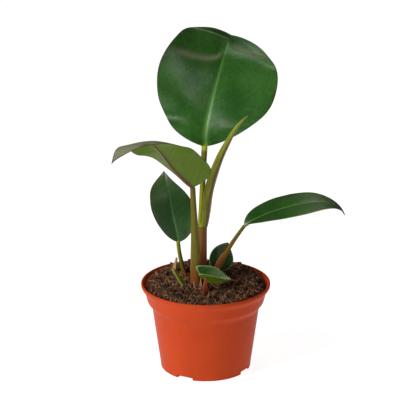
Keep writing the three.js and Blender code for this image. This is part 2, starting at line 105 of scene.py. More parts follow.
# Stalks: foot (x, y), length, then heading, slope, width and depth at even steps from the foot.
STALKS = {
    "main_stalk": dict(
        foot=(-3.1, -0.4), length=55, heading=(80, 80, 70, 60), slope=(88, 88, 88, 88),
        width=(8, 8, 7.8, 7.6), depth=(7.6, 7.6, 7.4, 7.2)),
    "stalk_collar": dict(
        length=2.2, heading=(60, 60), slope=(88, 88),
        width=(7.8, 8.8, 8), depth=(7.4, 8.4, 7.6)),
    "top_leaf_petiole": dict(
        length=66, heading=(20, 35, 45, 60), slope=(86, 87, 86, 85),
        width=(5, 4.8, 4.8, 5.2), depth=(5, 4.6, 4.4, 4.2)),
    "new_leaf": dict(
        length=106.6, heading=(320, 325, 336, 340, 348, 354, 346), slope=(79, 84.6, 74.7, 70.3, 64, 59, 40),
        width=(4.6, 6.6, 7.2, 6.6, 4.9, 2.9, 0.7), depth=(4.4, 6, 6.2, 5.6, 4.4, 2.8, 0.7)),
    "arching_leaf_petiole": dict(
        foot=(-7.6, -8.6), length=94, heading=(250, 250, 240, 230, 230), slope=(84, 86, 86.5, 86, 87),
        width=(10, 9.6, 7.4, 5.4, 4.3), depth=(7, 7, 6, 5, 4.2)),
    "lower_left_leaf_petiole": dict(
        foot=(-15.4, 14.4), length=39.5, heading=(200, 212, 222, 250), slope=(68, 74, 77, 80),
        width=(6, 4.6, 3.6, 3.4), depth=(5, 4, 3.4, 3.2)),
    "right_leaf_petiole": dict(
        foot=(3.6, 2.8), length=67, heading=(345, 335, 336, 330), slope=(70, 65, 59, 54),
        width=(8.4, 6.8, 4.3, 3.2), depth=(5.4, 5, 3.8, 3)),
    "back_leaf_petiole": dict(
        foot=(6.6, 8.6), length=11.5, heading=(40, 35, 35), slope=(78, 76, 74),
        width=(4.6, 4.2, 3.4), depth=(3.8, 3.4, 3)),
    "front_leaf_petiole": dict(
        foot=(4.6, -24.2), length=14.5, heading=(170, 165, 160), slope=(74, 70, 66),
        width=(6, 5, 3.6), depth=(4.4, 3.8, 3)),
    "curled_leaf": dict(
        foot=(-10.8, -18.6), length=30, heading=(150, 146, 144), slope=(42, 46, 52),
        width=(3, 6.6, 0.9), depth=(2.4, 3.4, 0.9)),
    "front_bract": dict(
        foot=(0.2, -29.4), length=21, heading=(150, 110, 80), slope=(84, 88, 90),
        width=(5.6, 5, 0.8), depth=(2.6, 2.2, 0.8)),
    "left_bract": dict(
        foot=(-11, 1.4), length=21, heading=(160, 155, 150), slope=(60, 62, 66),
        width=(4.4, 4, 0.8), depth=(2.2, 2, 0.8)),
    "dry_stub": dict(
        foot=(-28.2, 19), length=20.5, heading=(30, 20, 0), slope=(80, 80, 82),
        width=(3.8, 3.6, 2), depth=(3, 2.6, 1.2)),
    "dry_strip_left": dict(
        foot=(-8.4, -19.4), length=13, heading=(100, 110, 120), slope=(62, 66, 70),
        width=(2.4, 2.2, 0.8), depth=(1.2, 1, 0.8)),
    "dry_strip_right": dict(
        foot=(-3.8, -18.4), length=15, heading=(100, 95, 90), slope=(74, 78, 84),
        width=(2.6, 2.2, 0.8), depth=(1.3, 1.1, 0.8)),
}

# Blades: length, half widths, outline, sweep of the base, then heading, slope, roll, fold and
# bend at even steps from base to tip, as in the part. The last four values are for the fine
# surface: distance between side veins, their lean towards the tip, the midrib's width at the
# base, and how far the blade swells and dips.
BLADES = {
    "top_leaf": dict(
        length=113, left=52, right=51, broad=0.92, base_round=0.67, tip_round=0.6, sweep=0,
        heading=(89.5, 66.6, 61.7, 63.3, 68.9, 75.6, 84), slope=(66.3, 65.3, 61, 56.3, 47.4, 21.3, -2.4),
        roll=(-23, -14, -28, -34, -30, -23, -21), fold=(19, 8.9, 11.4, 11.8, 13.6, 11, 14.6),
        bend=(-12.2, -12, -2.1, 2.3, 5.1, -3.4, -2.4), left_trim=(1.07, 0.95, 0.97, 1.01, 1.01, 0.91, 0.61),
        right_trim=(0.99, 0.96, 0.99, 1, 1.05, 1.07, 0.93),
        vein_gap=7, vein_lean=1.15, rib=4.6, swell=0.9),
    "arching_leaf": dict(
        length=118.9, left=30, right=17, broad=0.64, base_round=0.6, tip_round=1.25, sweep=0,
        heading=(213.4, 215.3, 224.2, 232.3, 232.3, 230.2, 236.2),
        slope=(49.5, 45.5, 52.1, 38, 9.1, -11.5, -45.8),
        roll=(-36, -27, -25, -25, -19, -4, 24), fold=(16.9, 17.3, 11.7, -2.6, -3.3, 3, 6.7),
        bend=(-7, -2.1, -5.2, -21.1, -19.7, -10.3, -4.9),
        left_trim=(1.31, 1.03, 0.88, 0.93, 1.01, 1.12, 1.36),
        right_trim=(0.47, 0.47, 0.67, 1.12, 1.39, 1.53, 1.64),
        vein_gap=6, vein_lean=1.1, rib=3.6, swell=0.6),
    "lower_left_leaf": dict(
        length=63.2, left=17, right=18.5, broad=0.88, base_round=0.8, tip_round=1.1, sweep=0,
        heading=(169.9, 164.2, 155.3, 143.5, 133.2, 118.9, 102.5),
        slope=(84.3, 77.3, 76.8, 78.8, 73, 62.7, 51.1),
        roll=(90, 72, 57, 42, 30, 25, 33), fold=(23.9, 18.9, 15.6, 14.4, 13.6, 10.6, 1.8),
        bend=(2.8, -1, -3.2, -2.8, -0.6, -0.5, -7.2), left_trim=(1.05, 0.93, 0.94, 1.06, 1.29, 1.62, 1.77),
        right_trim=(1.49, 1.29, 1.13, 1.02, 0.91, 0.77, 0.72),
        vein_gap=5, vein_lean=1.1, rib=2.4, swell=0.4),
    "right_leaf": dict(
        length=93.9, left=19, right=22, broad=0.93, base_round=0.7, tip_round=1.05, sweep=0,
        heading=(350.3, 349.5, 350.6, 353.9, 357.5, 360.3, 358.3),
        slope=(38.4, 29.4, 21.3, 15.3, 7.5, -19.2, -65.4),
        roll=(-21, -15, -12, -11, -11, -6, -1), fold=(31.6, 16.8, 12.8, 10.8, 9.3, 7.1, 9.9),
        bend=(3, -8.9, -13.2, -13.4, -11.9, -9.1, -1.7), left_trim=(1.32, 1.17, 1.07, 1.01, 0.97, 0.95, 0.96),
        right_trim=(0.99, 1, 0.97, 0.98, 1.02, 1.05, 1.03),
        vein_gap=6, vein_lean=1.1, rib=2.6, swell=0.5),
    "back_leaf": dict(
        length=27, left=9, right=12, broad=0.86, base_round=0.62, tip_round=0.9, sweep=0.1,
        heading=(40, 34, 30, 30), slope=(76, 68, 58, 48),
        roll=(-54, -56, -58, -58), fold=(14, 10, 8, 6),
        bend=(-6, -6, -6, -6), left_trim=(1, 1), right_trim=(1, 1),
        vein_gap=4, vein_lean=1.0, rib=1.6, swell=0.3),
    "front_leaf": dict(
        length=23, left=14.2, right=9.5, broad=0.6, base_round=0.36, tip_round=1, sweep=1.3,
        heading=(-8, -8, -10, -12), slope=(-14, 2, 18, 28),
        roll=(0, 0, 0, 0), fold=(76, 70, 60, 46),
        bend=(-14, -14, -12, -10), left_trim=(1, 1), right_trim=(1, 1),
        vein_gap=4, vein_lean=1.0, rib=1.4, swell=0.3),
}

# How many white grains lie on the compost.
WHITE_GRAINS = 6

# How light each blade's green is, as painted shade for where it stands in the light; how strongly a
# painted greyish sheen greys it, growing between two shares of its length; how strongly its midrib
# shows, and the colour of the line round it.
LEAF_LOOKS = {
    "top_leaf": dict(shade=0.95, painted_sheen=0, painted_sheen_from=(0.6, 1), rib=0.9, margin="margin"),
    "arching_leaf": dict(shade=0.8, painted_sheen=0.9, painted_sheen_from=(0.5, 0.75), rib=0.5, margin="margin"),
    "lower_left_leaf": dict(shade=0.55, painted_sheen=0.1, painted_sheen_from=(0.4, 0.9), rib=0.4, margin="margin"),
    "right_leaf": dict(shade=0.72, painted_sheen=0.35, painted_sheen_from=(0.4, 0.9), rib=0.7, margin="pale_margin"),
    "back_leaf": dict(shade=0.72, painted_sheen=0.2, painted_sheen_from=(0.5, 1), rib=0.5, margin="pale_margin"),
    "front_leaf": dict(shade=0.8, painted_sheen=0.3, painted_sheen_from=(0, 0.6), rib=0.6, margin="pale_margin"),
}

# Ledges of the top blade, where a half drops back and slowly comes forward again: side, place
# along the blade, lean per mm out from the midrib, rise beside the midrib, drop, in mm, and
# whether painted shade darkens the blade past it (1) or not (0). A painted highlight lies along
# each ledge.
LEDGES = (
    dict(side=-1, at=72.5, lean=-0.13, lift=11, drop=1.8, dark=0),
    dict(side=1, at=90, lean=0, lift=9, drop=1.8, dark=1),
)
LEDGE_WIDTH = 1.7
LEDGE_RECOVERY = 15

# Line across the left half near the tip of the top blade where a fold is painted, not shaped: a
# painted highlight along it and painted shade past it. Place along the blade and lean.
CREASE_AT = 102
CREASE_LEAN = -0.34

# How far a stalk's fine surface reaches into its neighbours, so that no gap shows between them.
STALK_OVERRUN = 1.6

# Fuller than their cores: the loose turn of the rolled leaf and the frayed stub.
ROLLED_FULLNESS = 1.26
STUB_FULLNESS = 1.4

# Half the fine surface's blade thickness, and how finely blades are divided.
HALF_BLADE = 0.3
BLADE_ROWS = 170
BLADE_HALF_COLUMNS = 46

# How finely the pot and the compost are divided.
POT_SIDES = 192
COMPOST_SIDES = 288
COMPOST_RINGS = 110

# How far out from the axis bark, fibres and white grains lie, and how far out they may reach.
BARK_REACH = 49.6
BARK_LIMIT = 49.8
FIBRE_REACH = 47
FIBRE_LIMIT = 49
GRAIN_REACH = 44

# Finish of each stalk: its material, its colours at the foot and above, of its blush, its marked
# edges and its tip, the shares of its length where the colour changes, and the blush's strength.
STALK_LOOKS = {
    "main_stalk": dict(
        finish="main_stalk", low="red", high="olive", blush="red", change=(0.4, 1.3),
        blush_share=0.7),
    "stalk_collar": dict(
        finish="stalk_collar", low="fresh_tip", high="fresh", blush="olive", change=(0.2, 0.9),
        blush_share=0.4),
    "top_leaf_petiole": dict(
        finish="top_petiole", low="fresh", high="olive", blush="red", change=(0.3, 0.9),
        blush_share=0.35, tip="fresh_tip"),
    "arching_leaf_petiole": dict(
        finish="arching_petiole", low="red", high="olive", blush="blush", change=(0, 0.4),
        blush_share=0.4),
    "lower_left_leaf_petiole": dict(
        finish="left_petiole", low="olive", high="fresh", blush="red", change=(0.2, 1),
        blush_share=0.4),
    "right_leaf_petiole": dict(
        finish="right_petiole", low="red", high="olive", blush="red", change=(-0.2, 1.2),
        blush_share=0.7, edge_color="blush"),
    "back_leaf_petiole": dict(
        finish="back_petiole", low="olive", high="olive", blush="red", change=(0.2, 1),
        blush_share=0.4),
    "front_leaf_petiole": dict(
        finish="front_petiole", low="red", high="olive", blush="blush", change=(0.3, 1),
        blush_share=0.5),
}

# Softboxes: place and size in metres, power as a share of the key light's, and, where they
# differ from the usual ones, target and spread in degrees.
SOFTBOXES = {
    "key": dict(location=(-1.32, -0.8, 1.1), size=(0.9, 0.9), share=1),
    "gloss": dict(location=(0.78, -1.25, 0.52), size=(0.3, 0.3), share=0.0014,
                  target=(0, 0, 0.24), spread=14),
    "top": dict(location=(0.05, 0.4, 1.45), size=(0.6, 0.4), share=0.11),
}
CAMERA_PLACE = (0, -1.57465, 0.67883)
CAMERA_TURN = math.radians(-0.0724)
FLOOR_HALF_SPAN = 0.6
SEEN_SURROUND = 1.02

# Which stalk carries which blade, and the record's finish of each stalk.
CARRIES = {f"{name}_petiole": name for name in BLADES}
STALK_SLOTS = {
    "main_stalk": "red_stalk", "stalk_collar": "collar", "top_leaf_petiole": "petiole",
    "arching_leaf_petiole": "petiole", "lower_left_leaf_petiole": "petiole",
    "right_leaf_petiole": "red_stalk", "back_leaf_petiole": "petiole",
    "front_leaf_petiole": "red_stalk",
}
SCALE_SLOTS = {
    "front_bract": "red_scale", "left_bract": "red_scale", "dry_stub": "dry_scale",
    "dry_strip_left": "dry_scale", "dry_strip_right": "dry_scale",
}


# ---------------------------------------------------------------- growth paths

def along(values, u):
    """Smooth values at u (0 to 1) through evenly spaced numbers: a cubic between each two that
    leaves them with the slope of their neighbours' chord."""
    values = np.asarray(values, float)
    last = len(values) - 1
    at = np.clip(np.asarray(u, float), 0, 1) * last
    i = np.minimum(np.floor(at).astype(int), last - 1)
    f = at - i
    padded = np.concatenate([[2 * values[0] - values[1]], values, [2 * values[-1] - values[-2]]])
    a, b, c, d = (padded[i + k] for k in range(4))
    slope_b, slope_c = (c - a) / 2, (d - b) / 2
    return (b + slope_b * f + (3 * (c - b) - 2 * slope_b - slope_c) * f ** 2
            + (2 * (b - c) + slope_b + slope_c) * f ** 3)


def directions(heading, slope, roll):
    """Forward, side and up directions for headings, slopes and rolls in degrees: heading turns in
    plan from +X to +Y, slope lifts from the level, and roll turns side towards up."""
    h, p, r = (np.radians(np.asarray(a, float)) for a in (heading, slope, roll))
    flat = np.zeros_like(h + p + r)
    forward = np.stack([np.cos(h) * np.cos(p), np.sin(h) * np.cos(p), np.sin(p) + flat], -1)
    level = np.stack([np.sin(h) + flat, -np.cos(h) + flat, flat], -1)
    above = np.stack([-np.cos(h) * np.sin(p), -np.sin(h) * np.sin(p), np.cos(p) + flat], -1)
    cos_r, sin_r = np.cos(r + flat)[..., None], np.sin(r + flat)[..., None]
    return forward, level * cos_r + above * sin_r, above * cos_r - level * sin_r


class Path:
    """Growth path: from its start it goes forward in small steps along its heading and slope."""

    STEPS = 480

    def __init__(self, start, shape, length):
        self.shape = shape
        middles = (np.arange(self.STEPS) + 0.5) / self.STEPS
        walk = self.frames(middles)[0] * (length / self.STEPS)
        self.points = np.concatenate([[start], start + np.cumsum(walk, 0)])

    def frames(self, u):
        """Forward, side and up directions at u."""
        roll = along(self.shape["roll"], u) if "roll" in self.shape else np.zeros_like(u)
        return directions(along(self.shape["heading"], u), along(self.shape["slope"], u), roll)

    def at(self, u):
        """Points and directions at u."""
        u = np.atleast_1d(np.asarray(u, float))
        stations = np.linspace(0, 1, self.STEPS + 1)
        point = np.stack([np.interp(u, stations, self.points[:, k]) for k in range(3)], -1)
        return (point, *self.frames(u))


def plant_layout(sizes):
    """Paths of all stalks and blades in millimetres, each starting where the part has it: a
    stalk at its foot or on the collar, and a blade a gap past its stalk's end."""
    paths = {}

    def stalk(name, start=None):
        shape = STALKS[name]
        if start is None:
            start = np.array([*shape["foot"], FOOT_LEVEL])
        paths[name] = Path(start, shape, size_of(sizes, name, "length"))
        return paths[name].at(1.0)

    def past(end, gap=CLEARANCE):
        return end[0][0] + end[1][0] * gap

    collar_end = stalk("stalk_collar", past(stalk("main_stalk")))
    spread = collar_end[2][0] * FORK_SPREAD[0] + collar_end[3][0] * FORK_SPREAD[1]
    starts = {
        "top_leaf_petiole": past(collar_end) + spread,
        "new_leaf": past(collar_end) - spread,
    }
    for name in STALKS:
        if name not in paths:
            end = stalk(name, starts.get(name))
            blade = CARRIES.get(name)
            if blade:
                shape = BLADES[blade]
                first = directions(shape["heading"][0], shape["slope"][0], 0)[0]
                turn = math.acos(min(1, float(first @ end[1][0])))
                start = past(end, CLEARANCE + BLADE_THICKNESS * math.sin(turn))
                paths[blade] = Path(start, shape, size_of(sizes, blade, "length"))
    return paths


def size_of(sizes, name, part):
    """A size property in millimetres."""
    return getattr(sizes, f"{name}_{part}") / MM


# ---------------------------------------------------------------- meshes

def crowded(count, ends):
    """Numbers from 0 to 1 that lie closer together at both ends; ends 0 is even, near 1 is dense."""
    x = np.linspace(0, 1, count)
    return x - ends * np.sin(2 * np.pi * x) / (2 * np.pi)


def ripple(places, wavelength, seed, waves=9):
    """Smooth random field with values of about -1 to 1: the mean of plane waves of one length
    that run in random directions with random phases."""
    rng = np.random.default_rng(seed)
    size = places.shape[-1]
    way = rng.normal(size=(waves, size))
    way /= np.linalg.norm(way, axis=1, keepdims=True)
    way *= 2 * np.pi / (wavelength * rng.uniform(0.7, 1.4, (waves, 1)))
    phase = rng.uniform(0, 2 * np.pi, waves)
    return np.sin(places @ way.T + phase).mean(-1) * 1.8


def make_object(name, points, faces, materials, uv=None, marks=None, smooth=True, face_material=None):
    """Object from points in millimetres, faces, one UV pair per face corner and named numbers
    per point; its own place is the origin."""
    mesh = bpy.data.meshes.new(name)
    mesh.from_pydata(np.asarray(points, float) * MM, [], faces)
    mesh.polygons.foreach_set("use_smooth", np.full(len(mesh.polygons), smooth))
    if uv is not None:
        layer = mesh.uv_layers.new(name="UVMap")
        layer.uv.foreach_set("vector", np.asarray(uv, np.float32).ravel())
    for mark, values in (marks or {}).items():
        attribute = mesh.attributes.new(mark, "FLOAT", "POINT")
        attribute.data.foreach_set("value", np.asarray(values, np.float32).ravel())
    for material in materials:
        mesh.materials.append(material)
    if face_material is not None:
        mesh.polygons.foreach_set("material_index", np.asarray(face_material, np.int32))
    mesh.update()
    obj = bpy.data.objects.new(name, mesh)
    bpy.context.scene.collection.objects.link(obj)
    return obj


def ring_surface(rings):
    """Points and faces of a closed skin over rings of points, (rings, around, 3), with a pole at
    the middle of the first and the last ring. Returns the face corners' ring and around numbers
    too, so that a pattern can be laid over them without a seam."""
    count, around = rings.shape[:2]
    points = np.concatenate([rings.reshape(-1, 3), rings[:1].mean(1), rings[-1:].mean(1)])
    i, k = np.meshgrid(np.arange(count - 1), np.arange(around), indexing="ij")
    i, k = i.ravel(), k.ravel()
    row = np.stack([i, i, i + 1, i + 1], -1)
    column = np.stack([k, k + 1, k + 1, k], -1)
    quads = row * around + column % around
    k = np.arange(around)
    start_pole, end_pole = count * around, count * around + 1
    start = np.stack([np.full(around, start_pole), (k + 1) % around, k], -1)
    end_row = (count - 1) * around
    end = np.stack([np.full(around, end_pole), end_row + k, end_row + (k + 1) % around], -1)
    faces = [*quads.tolist(), *start.tolist(), *end.tolist()]
    corner_rows = np.concatenate([row.ravel(), np.zeros(3 * around, int), np.full(3 * around, count - 1)])
    turn = np.stack([k, k + 1, k], -1)
    turn_end = np.stack([k, k, k + 1], -1)
    corner_columns = np.concatenate([column.ravel(), turn.ravel(), turn_end.ravel()])
    return points, faces, corner_rows, corner_columns


def finish_piece(obj, slot, *replaced):
    """Rides a piece on the part's one body and hides the parts that it stands for. Slot, the record's finish,
    is not used.
    """
    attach(obj, "root")
    if replaced:
        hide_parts(*replaced)
    return obj


# ---------------------------------------------------------------- shader nodes

class Socket:
    """Output socket of a shader node; arithmetic on it adds Math nodes."""

    def __init__(self, tree, output):
        self.tree = tree
        self.output = output

    def math(self, operation, *values):
        """Math node with this socket and more values."""
        return self.tree.add("ShaderNodeMath", {"operation": operation}, dict(enumerate((self, *values))))

    def reflected(self, operation, value):
        """Math node with a value ahead of this socket."""
        return self.tree.add("ShaderNodeMath", {"operation": operation}, {0: value, 1: self})

    def __add__(self, other):
        return self.math("ADD", other)

    def __sub__(self, other):
        return self.math("SUBTRACT", other)

    def __mul__(self, other):
        return self.math("MULTIPLY", other)

    def __rsub__(self, other):
        return self.reflected("SUBTRACT", other)

    __radd__ = __add__
    __rmul__ = __mul__

    def between(self, low, high):
        """0 at low, 1 at high and smooth between; low may be the larger."""
        return self.tree.add(
            "ShaderNodeMapRange", {"interpolation_type": "SMOOTHSTEP"},
            {"Value": self, "From Min": low, "From Max": high})


class Finish:
    """Material with a Principled shader, built node by node."""

    def __init__(self, name, **constants):
        self.material = bpy.data.materials.new(name)
        self.material.use_nodes = True
        self.nodes = self.material.node_tree.nodes
        self.links = self.material.node_tree.links
        self.shader = self.nodes["Principled BSDF"]
        for key, value in constants.items():
            self.shader.inputs[key.replace("_", " ").title().replace("Ior", "IOR")].default_value = value

    def add(self, kind, settings=None, inputs=None, output=0):
        """Node of a kind: its settings first, then the values or links of its sockets."""
        node = self.nodes.new(kind)
        for key, value in (settings or {}).items():
            if key == "stops":
                ramp = node.color_ramp
                while len(ramp.elements) < len(value):
                    ramp.elements.new(1)
                for element, (place, color) in zip(ramp.elements, value):
                    element.position = place
                    element.color = (*color, 1)
            else:
                setattr(node, key, value)
        for key, value in (inputs or {}).items():
            if isinstance(value, Socket):
                self.links.new(value.output, node.inputs[key])
            else:
                node.inputs[key].default_value = value
        return Socket(self, node.outputs[output])

    def feed(self, **inputs):
        """Links results to the shader's inputs."""
        for key, value in inputs.items():
            self.links.new(value.output, self.shader.inputs[key.replace("_", " ").title()])
        return self.material

    def mark(self, name):
        """A number that the mesh carries at each point."""
        return self.add("ShaderNodeAttribute", {"attribute_name": name}, output="Fac")

    def mix(self, a, b, factor):
        """Colour between a and b."""
        a, b = (c if isinstance(c, Socket) else (*c[:3], 1) for c in (a, b))
        return self.add("ShaderNodeMix", {"data_type": "RGBA"}, {0: factor, 6: a, 7: b}, output=2)

    def place(self):
        """Object coordinates."""
        return self.add("ShaderNodeTexCoord", output="Object")

    def surface(self):
        """The piece's own UV coordinates."""
        return self.add("ShaderNodeUVMap", {"uv_map": "UVMap"})

    def stretch(self, vector, scale):
        """Vector multiplied axis by axis."""
        return self.add("ShaderNodeVectorMath", {"operation": "MULTIPLY"}, {0: vector, 1: scale})

    def noise(self, vector, scale, detail=3.0, roughness=0.55, distortion=0.0):
        """Cloudy noise from 0 to 1."""
        return self.add("ShaderNodeTexNoise", {}, {
            "Vector": vector, "Scale": scale, "Detail": detail, "Roughness": roughness,
            "Distortion": distortion})

    def cells(self, vector, scale):
        """Distance to the nearest of scattered points."""
        return self.add("ShaderNodeTexVoronoi", {}, {"Vector": vector, "Scale": scale})

    def bump(self, height, distance, strength=1.0, base=None):
        """Normal raised by a height, in metres."""
        inputs = {"Height": height, "Distance": distance, "Strength": strength}
        if base is not None:
            inputs["Normal"] = base
        return self.add("ShaderNodeBump", {}, inputs)


# ---------------------------------------------------------------- what a user would change

def length_property(label, description, millimetres):
    """Length with the part's own size as its default."""
    return FloatProperty(name=label, description=description, default=millimetres * MM,
                         min=MM, soft_max=1, precision=4, unit="LENGTH")


def color_property(label, description, red, green, blue):
    """Colour whose default is given in display values from 0 to 255."""
    display = np.array([red, green, blue]) / 255
    linear = np.where(display <= 0.04045, display / 12.92, ((display + 0.055) / 1.055) ** 2.4)
    return FloatVectorProperty(name=label, description=description, subtype="COLOR", size=3,
                               default=tuple(linear.tolist()), min=0, max=1)


class PlantSizes(bpy.types.PropertyGroup):
    """Length of every stalk, scale and blade."""

    __annotations__ = {
        f"{name}_length": length_property(
            name.replace("_", " ").capitalize(), f"Length of the {name.replace('_', ' ')}",
            shape["length"])
        for name, shape in {**STALKS, **BLADES}.items()
    }


class CompostSettings(bpy.types.PropertyGroup):
    """How coarse the compost is."""

    lump: length_property("Lumps", "How high the compost's lumps stand", 2.2)
    crumbs: IntProperty(name="Crumbs", description="Number of bark crumbs", default=2400, min=0)
    crumb_size: length_property("Crumb size", "Half length of a usual crumb", 1.8)
    fibres: IntProperty(name="Fibres", description="Number of loose fibres", default=900, min=0)
    fibre_length: length_property("Fibre length", "Length of a usual fibre", 9)


class PlantColors(bpy.types.PropertyGroup):
    """Colours of the plant and its pot."""

    pot: color_property("Pot", "Moulded pot", 196, 70, 32)
    leaf: color_property("Leaf", "Upper face of a blade", 60, 109, 38)
    leaf_deep: color_property("Leaf shade", "Darker streaks of a blade", 40, 86, 28)
    underside: color_property("Underside", "Lower face of a blade", 94, 124, 2)
    midrib: color_property("Midrib", "Midrib on the upper face", 92, 142, 60)
    margin: color_property("Margin", "Thin dark line round a blade", 62, 40, 22)
    pale_margin: color_property("Pale margin", "Thin pale line round a blade", 150, 160, 104)
    # Painted sheen: greyish painted highlight towards a blade's tip and along the top blade's ledges and fold
    # line.
    painted_sheen: color_property("Painted sheen", "Greyish gloss towards a blade's tip", 138, 138, 110)
    olive: color_property("Olive stalk", "Green part of a stalk", 98, 96, 8)
    red: color_property("Red stalk", "Red part of a stalk", 150, 74, 36)
    blush: color_property("Blush", "Pink edge of a stalk", 212, 122, 86)
    fresh: color_property("New growth", "Rolled new leaf", 142, 146, 24)
    fresh_tip: color_property("New tip", "Tip of the rolled new leaf", 156, 176, 44)
    compost: color_property("Compost", "Damp compost", 78, 45, 29)
    bark: color_property("Bark", "Dry bark", 182, 118, 74)
    fibre: color_property("Fibre", "Dry fibre", 216, 158, 96)
    straw: color_property("Straw", "Dry scales", 196, 152, 104)
    root: color_property("Root", "Buried crown and roots", 196, 176, 132)


class StageSettings(bpy.types.PropertyGroup):
    """Camera and light."""

    lens: FloatProperty(name="Lens", description="Focal length", default=171.26, min=1, unit="CAMERA")
    tilt: FloatProperty(name="Tilt", description="How far the camera looks down",
                        default=math.radians(18.8143), subtype="ANGLE")
    key: FloatProperty(name="Key light", description="Power of the left softbox", default=30, min=0)
    sky: FloatProperty(name="Surround", description="Brightness of the white surround", default=0.05, min=0)


# ---------------------------------------------------------------- finishes

def plastic_finish(colors):
    """Satin moulded plastic: faint flow clouds, fine grain and pale scuffs."""
    f = Finish("pot_plastic", specular_ior_level=0.05)
    place = f.place()
    clouds = f.noise(place, 26, 4)
    grain = f.noise(place, 1500, 2)
    scuffs = f.noise(f.stretch(place, (420, 420, 60)), 1, 4, 0.65)
    worn = scuffs.between(0.62, 0.78)
    base = f.mix([c * 0.88 for c in colors.pot], colors.pot, clouds.between(0.3, 0.7))
    pale = [min(1, c * 1.25 + 0.03) for c in colors.pot]
    return f.feed(
        base_color=f.mix(base, pale, worn * 0.18),
        roughness=clouds * 0.12 + worn * 0.1 + 0.4,
        normal=f.bump(grain, 0.00006, base=f.bump(clouds, 0.0006)),
    )


def leaf_finish(name, colors, look, rib_color, vein_gap):
    """Leathery blade: streaks and veins run out from the midrib to the margin, the upper face is
    dark and satin, the lower one olive and duller, the midrib fades towards the tip, and a thin
    line goes round the margin. Painted light: each blade's green is darkened by its own share as
    painted shade, a painted greyish sheen greys it towards the tip, and on the top blade painted
    highlights lie along its ledges and its fold line, with painted shade past the fold line and
    past one ledge."""
    f = Finish(name, specular_ior_level=0.4)
    uv = f.surface()
    under, rib, edge, rise = f.mark("under"), f.mark("rib"), f.mark("edge"), f.mark("along")
    across = f.add("ShaderNodeSeparateXYZ", {}, {"Vector": uv}, output="X")
    broad = f.noise(f.place(), 28, 3)
    mottle = f.noise(f.place(), 420, 3, 0.6)
    streaks = f.noise(f.stretch(uv, (0.42, 0.045, 1)), 1, 4, 0.62)
    fine = f.noise(f.stretch(uv, (3.2, 0.16, 1)), 1, 3, 0.6)
    vein = across.math("PINGPONG", vein_gap / 2).between(0.3, 0.02)
    small_vein = across.math("PINGPONG", vein_gap / 10).between(0.22, 0.02)
    # Each blade's greens are darkened by its own share, as painted shade for where it stands in the light.
    top, deep = ([c * look["shade"] for c in color] for color in (colors.leaf, colors.leaf_deep))
    green = f.mix(deep, top, (streaks * 0.1 + broad * 0.5 + mottle * 0.4).between(0.38, 0.62))
    light = [c * 1.6 + 0.012 for c in top]
    green = f.mix(green, light, vein * 0.05 + small_vein * 0.03 + fine.between(0.55, 0.9) * 0.1)
    # Painted sheen: a greyish painted highlight towards the tip, growing between two shares of the length.
    start, full = look["painted_sheen_from"]
    green = f.mix(green, colors.painted_sheen, rise.between(start, full) * broad.between(0.28, 0.5) * look["painted_sheen"])
    ledge, crease, beyond = f.mark("ledge"), f.mark("crease"), f.mark("beyond")
    # Painted highlight along the top blade's ledges.
    green = f.mix(green, colors.painted_sheen, ledge * (broad * 0.5 + 0.35))
    # Painted shade past the fold line and past the ledges marked dark.
    green = f.mix(green, [c * 0.55 for c in deep], beyond * 0.55)
    # Painted highlight along the fold line near the tip.
    green = f.mix(green, [min(1, c * 1.5) for c in colors.painted_sheen], crease * 0.8)
    green = f.mix(green, colors.midrib, rib * rise.between(1.0, 0.3) * look["rib"])
    green = f.mix(green, colors.fresh_tip, rib * rise.between(0.035, 0.0))
    below = f.mix([c * 0.7 for c in colors.underside], colors.underside,
                  (streaks * 0.5 + mottle * 0.5).between(0.32, 0.66))
    below = f.mix(below, [c * 1.35 for c in colors.underside], vein * 0.2)
    below = f.mix(below, rib_color, rib.between(0.45, 0.95))
    skin = f.mix(green, below, under)
    skin = f.mix(skin, getattr(colors, look["margin"]), edge.between(1.0, 0.4) * 0.85)
    height = vein * -0.05 + small_vein * -0.03 + fine * 0.34 + streaks * 0.1 + mottle * 0.26
    return f.feed(
        base_color=skin,
        roughness=streaks * 0.06 + fine * 0.16 + under * 0.16 + 0.18,
        normal=f.bump(height, 0.0003),
    )


def stalk_finish(name, low, high, blush, change, blush_share, edge_color=(0, 0, 0), tip=None):
    """Fibrous stalk: one colour at the foot and another above, blushed along its length and on
    its marked edges."""
    f = Finish(name, specular_ior_level=0.2)
    uv = f.surface()
    grain = f.noise(f.stretch(uv, (1.6, 0.05, 1)), 1, 4, 0.6)
    fine = f.noise(f.stretch(uv, (5, 0.22, 1)), 1, 3, 0.6)
    specks = f.cells(f.stretch(uv, (1.3, 0.5, 1)), 1).between(0.16, 0.08)
    rise = (f.mark("along") + grain * 0.3 - 0.15).between(*change)
    base = f.mix(low, high, rise)
    base = f.mix(base, blush, grain.between(0.5, 0.72) * blush_share)
    base = f.mix(base, [c * 0.45 for c in low], fine.between(0.56, 0.72) * 0.5)
    base = f.mix(base, [c * 1.25 + 0.02 for c in high], specks * 0.35)
    base = f.mix(base, edge_color, f.mark("edge") * 0.95)
    if tip is not None:
        base = f.mix(base, tip, f.mark("along").between(0.93, 0.97))
    return f.feed(
        base_color=base,
        roughness=grain * 0.25 + 0.3,
        normal=f.bump(grain * 0.7 + fine * 0.3, 0.0005),
    )


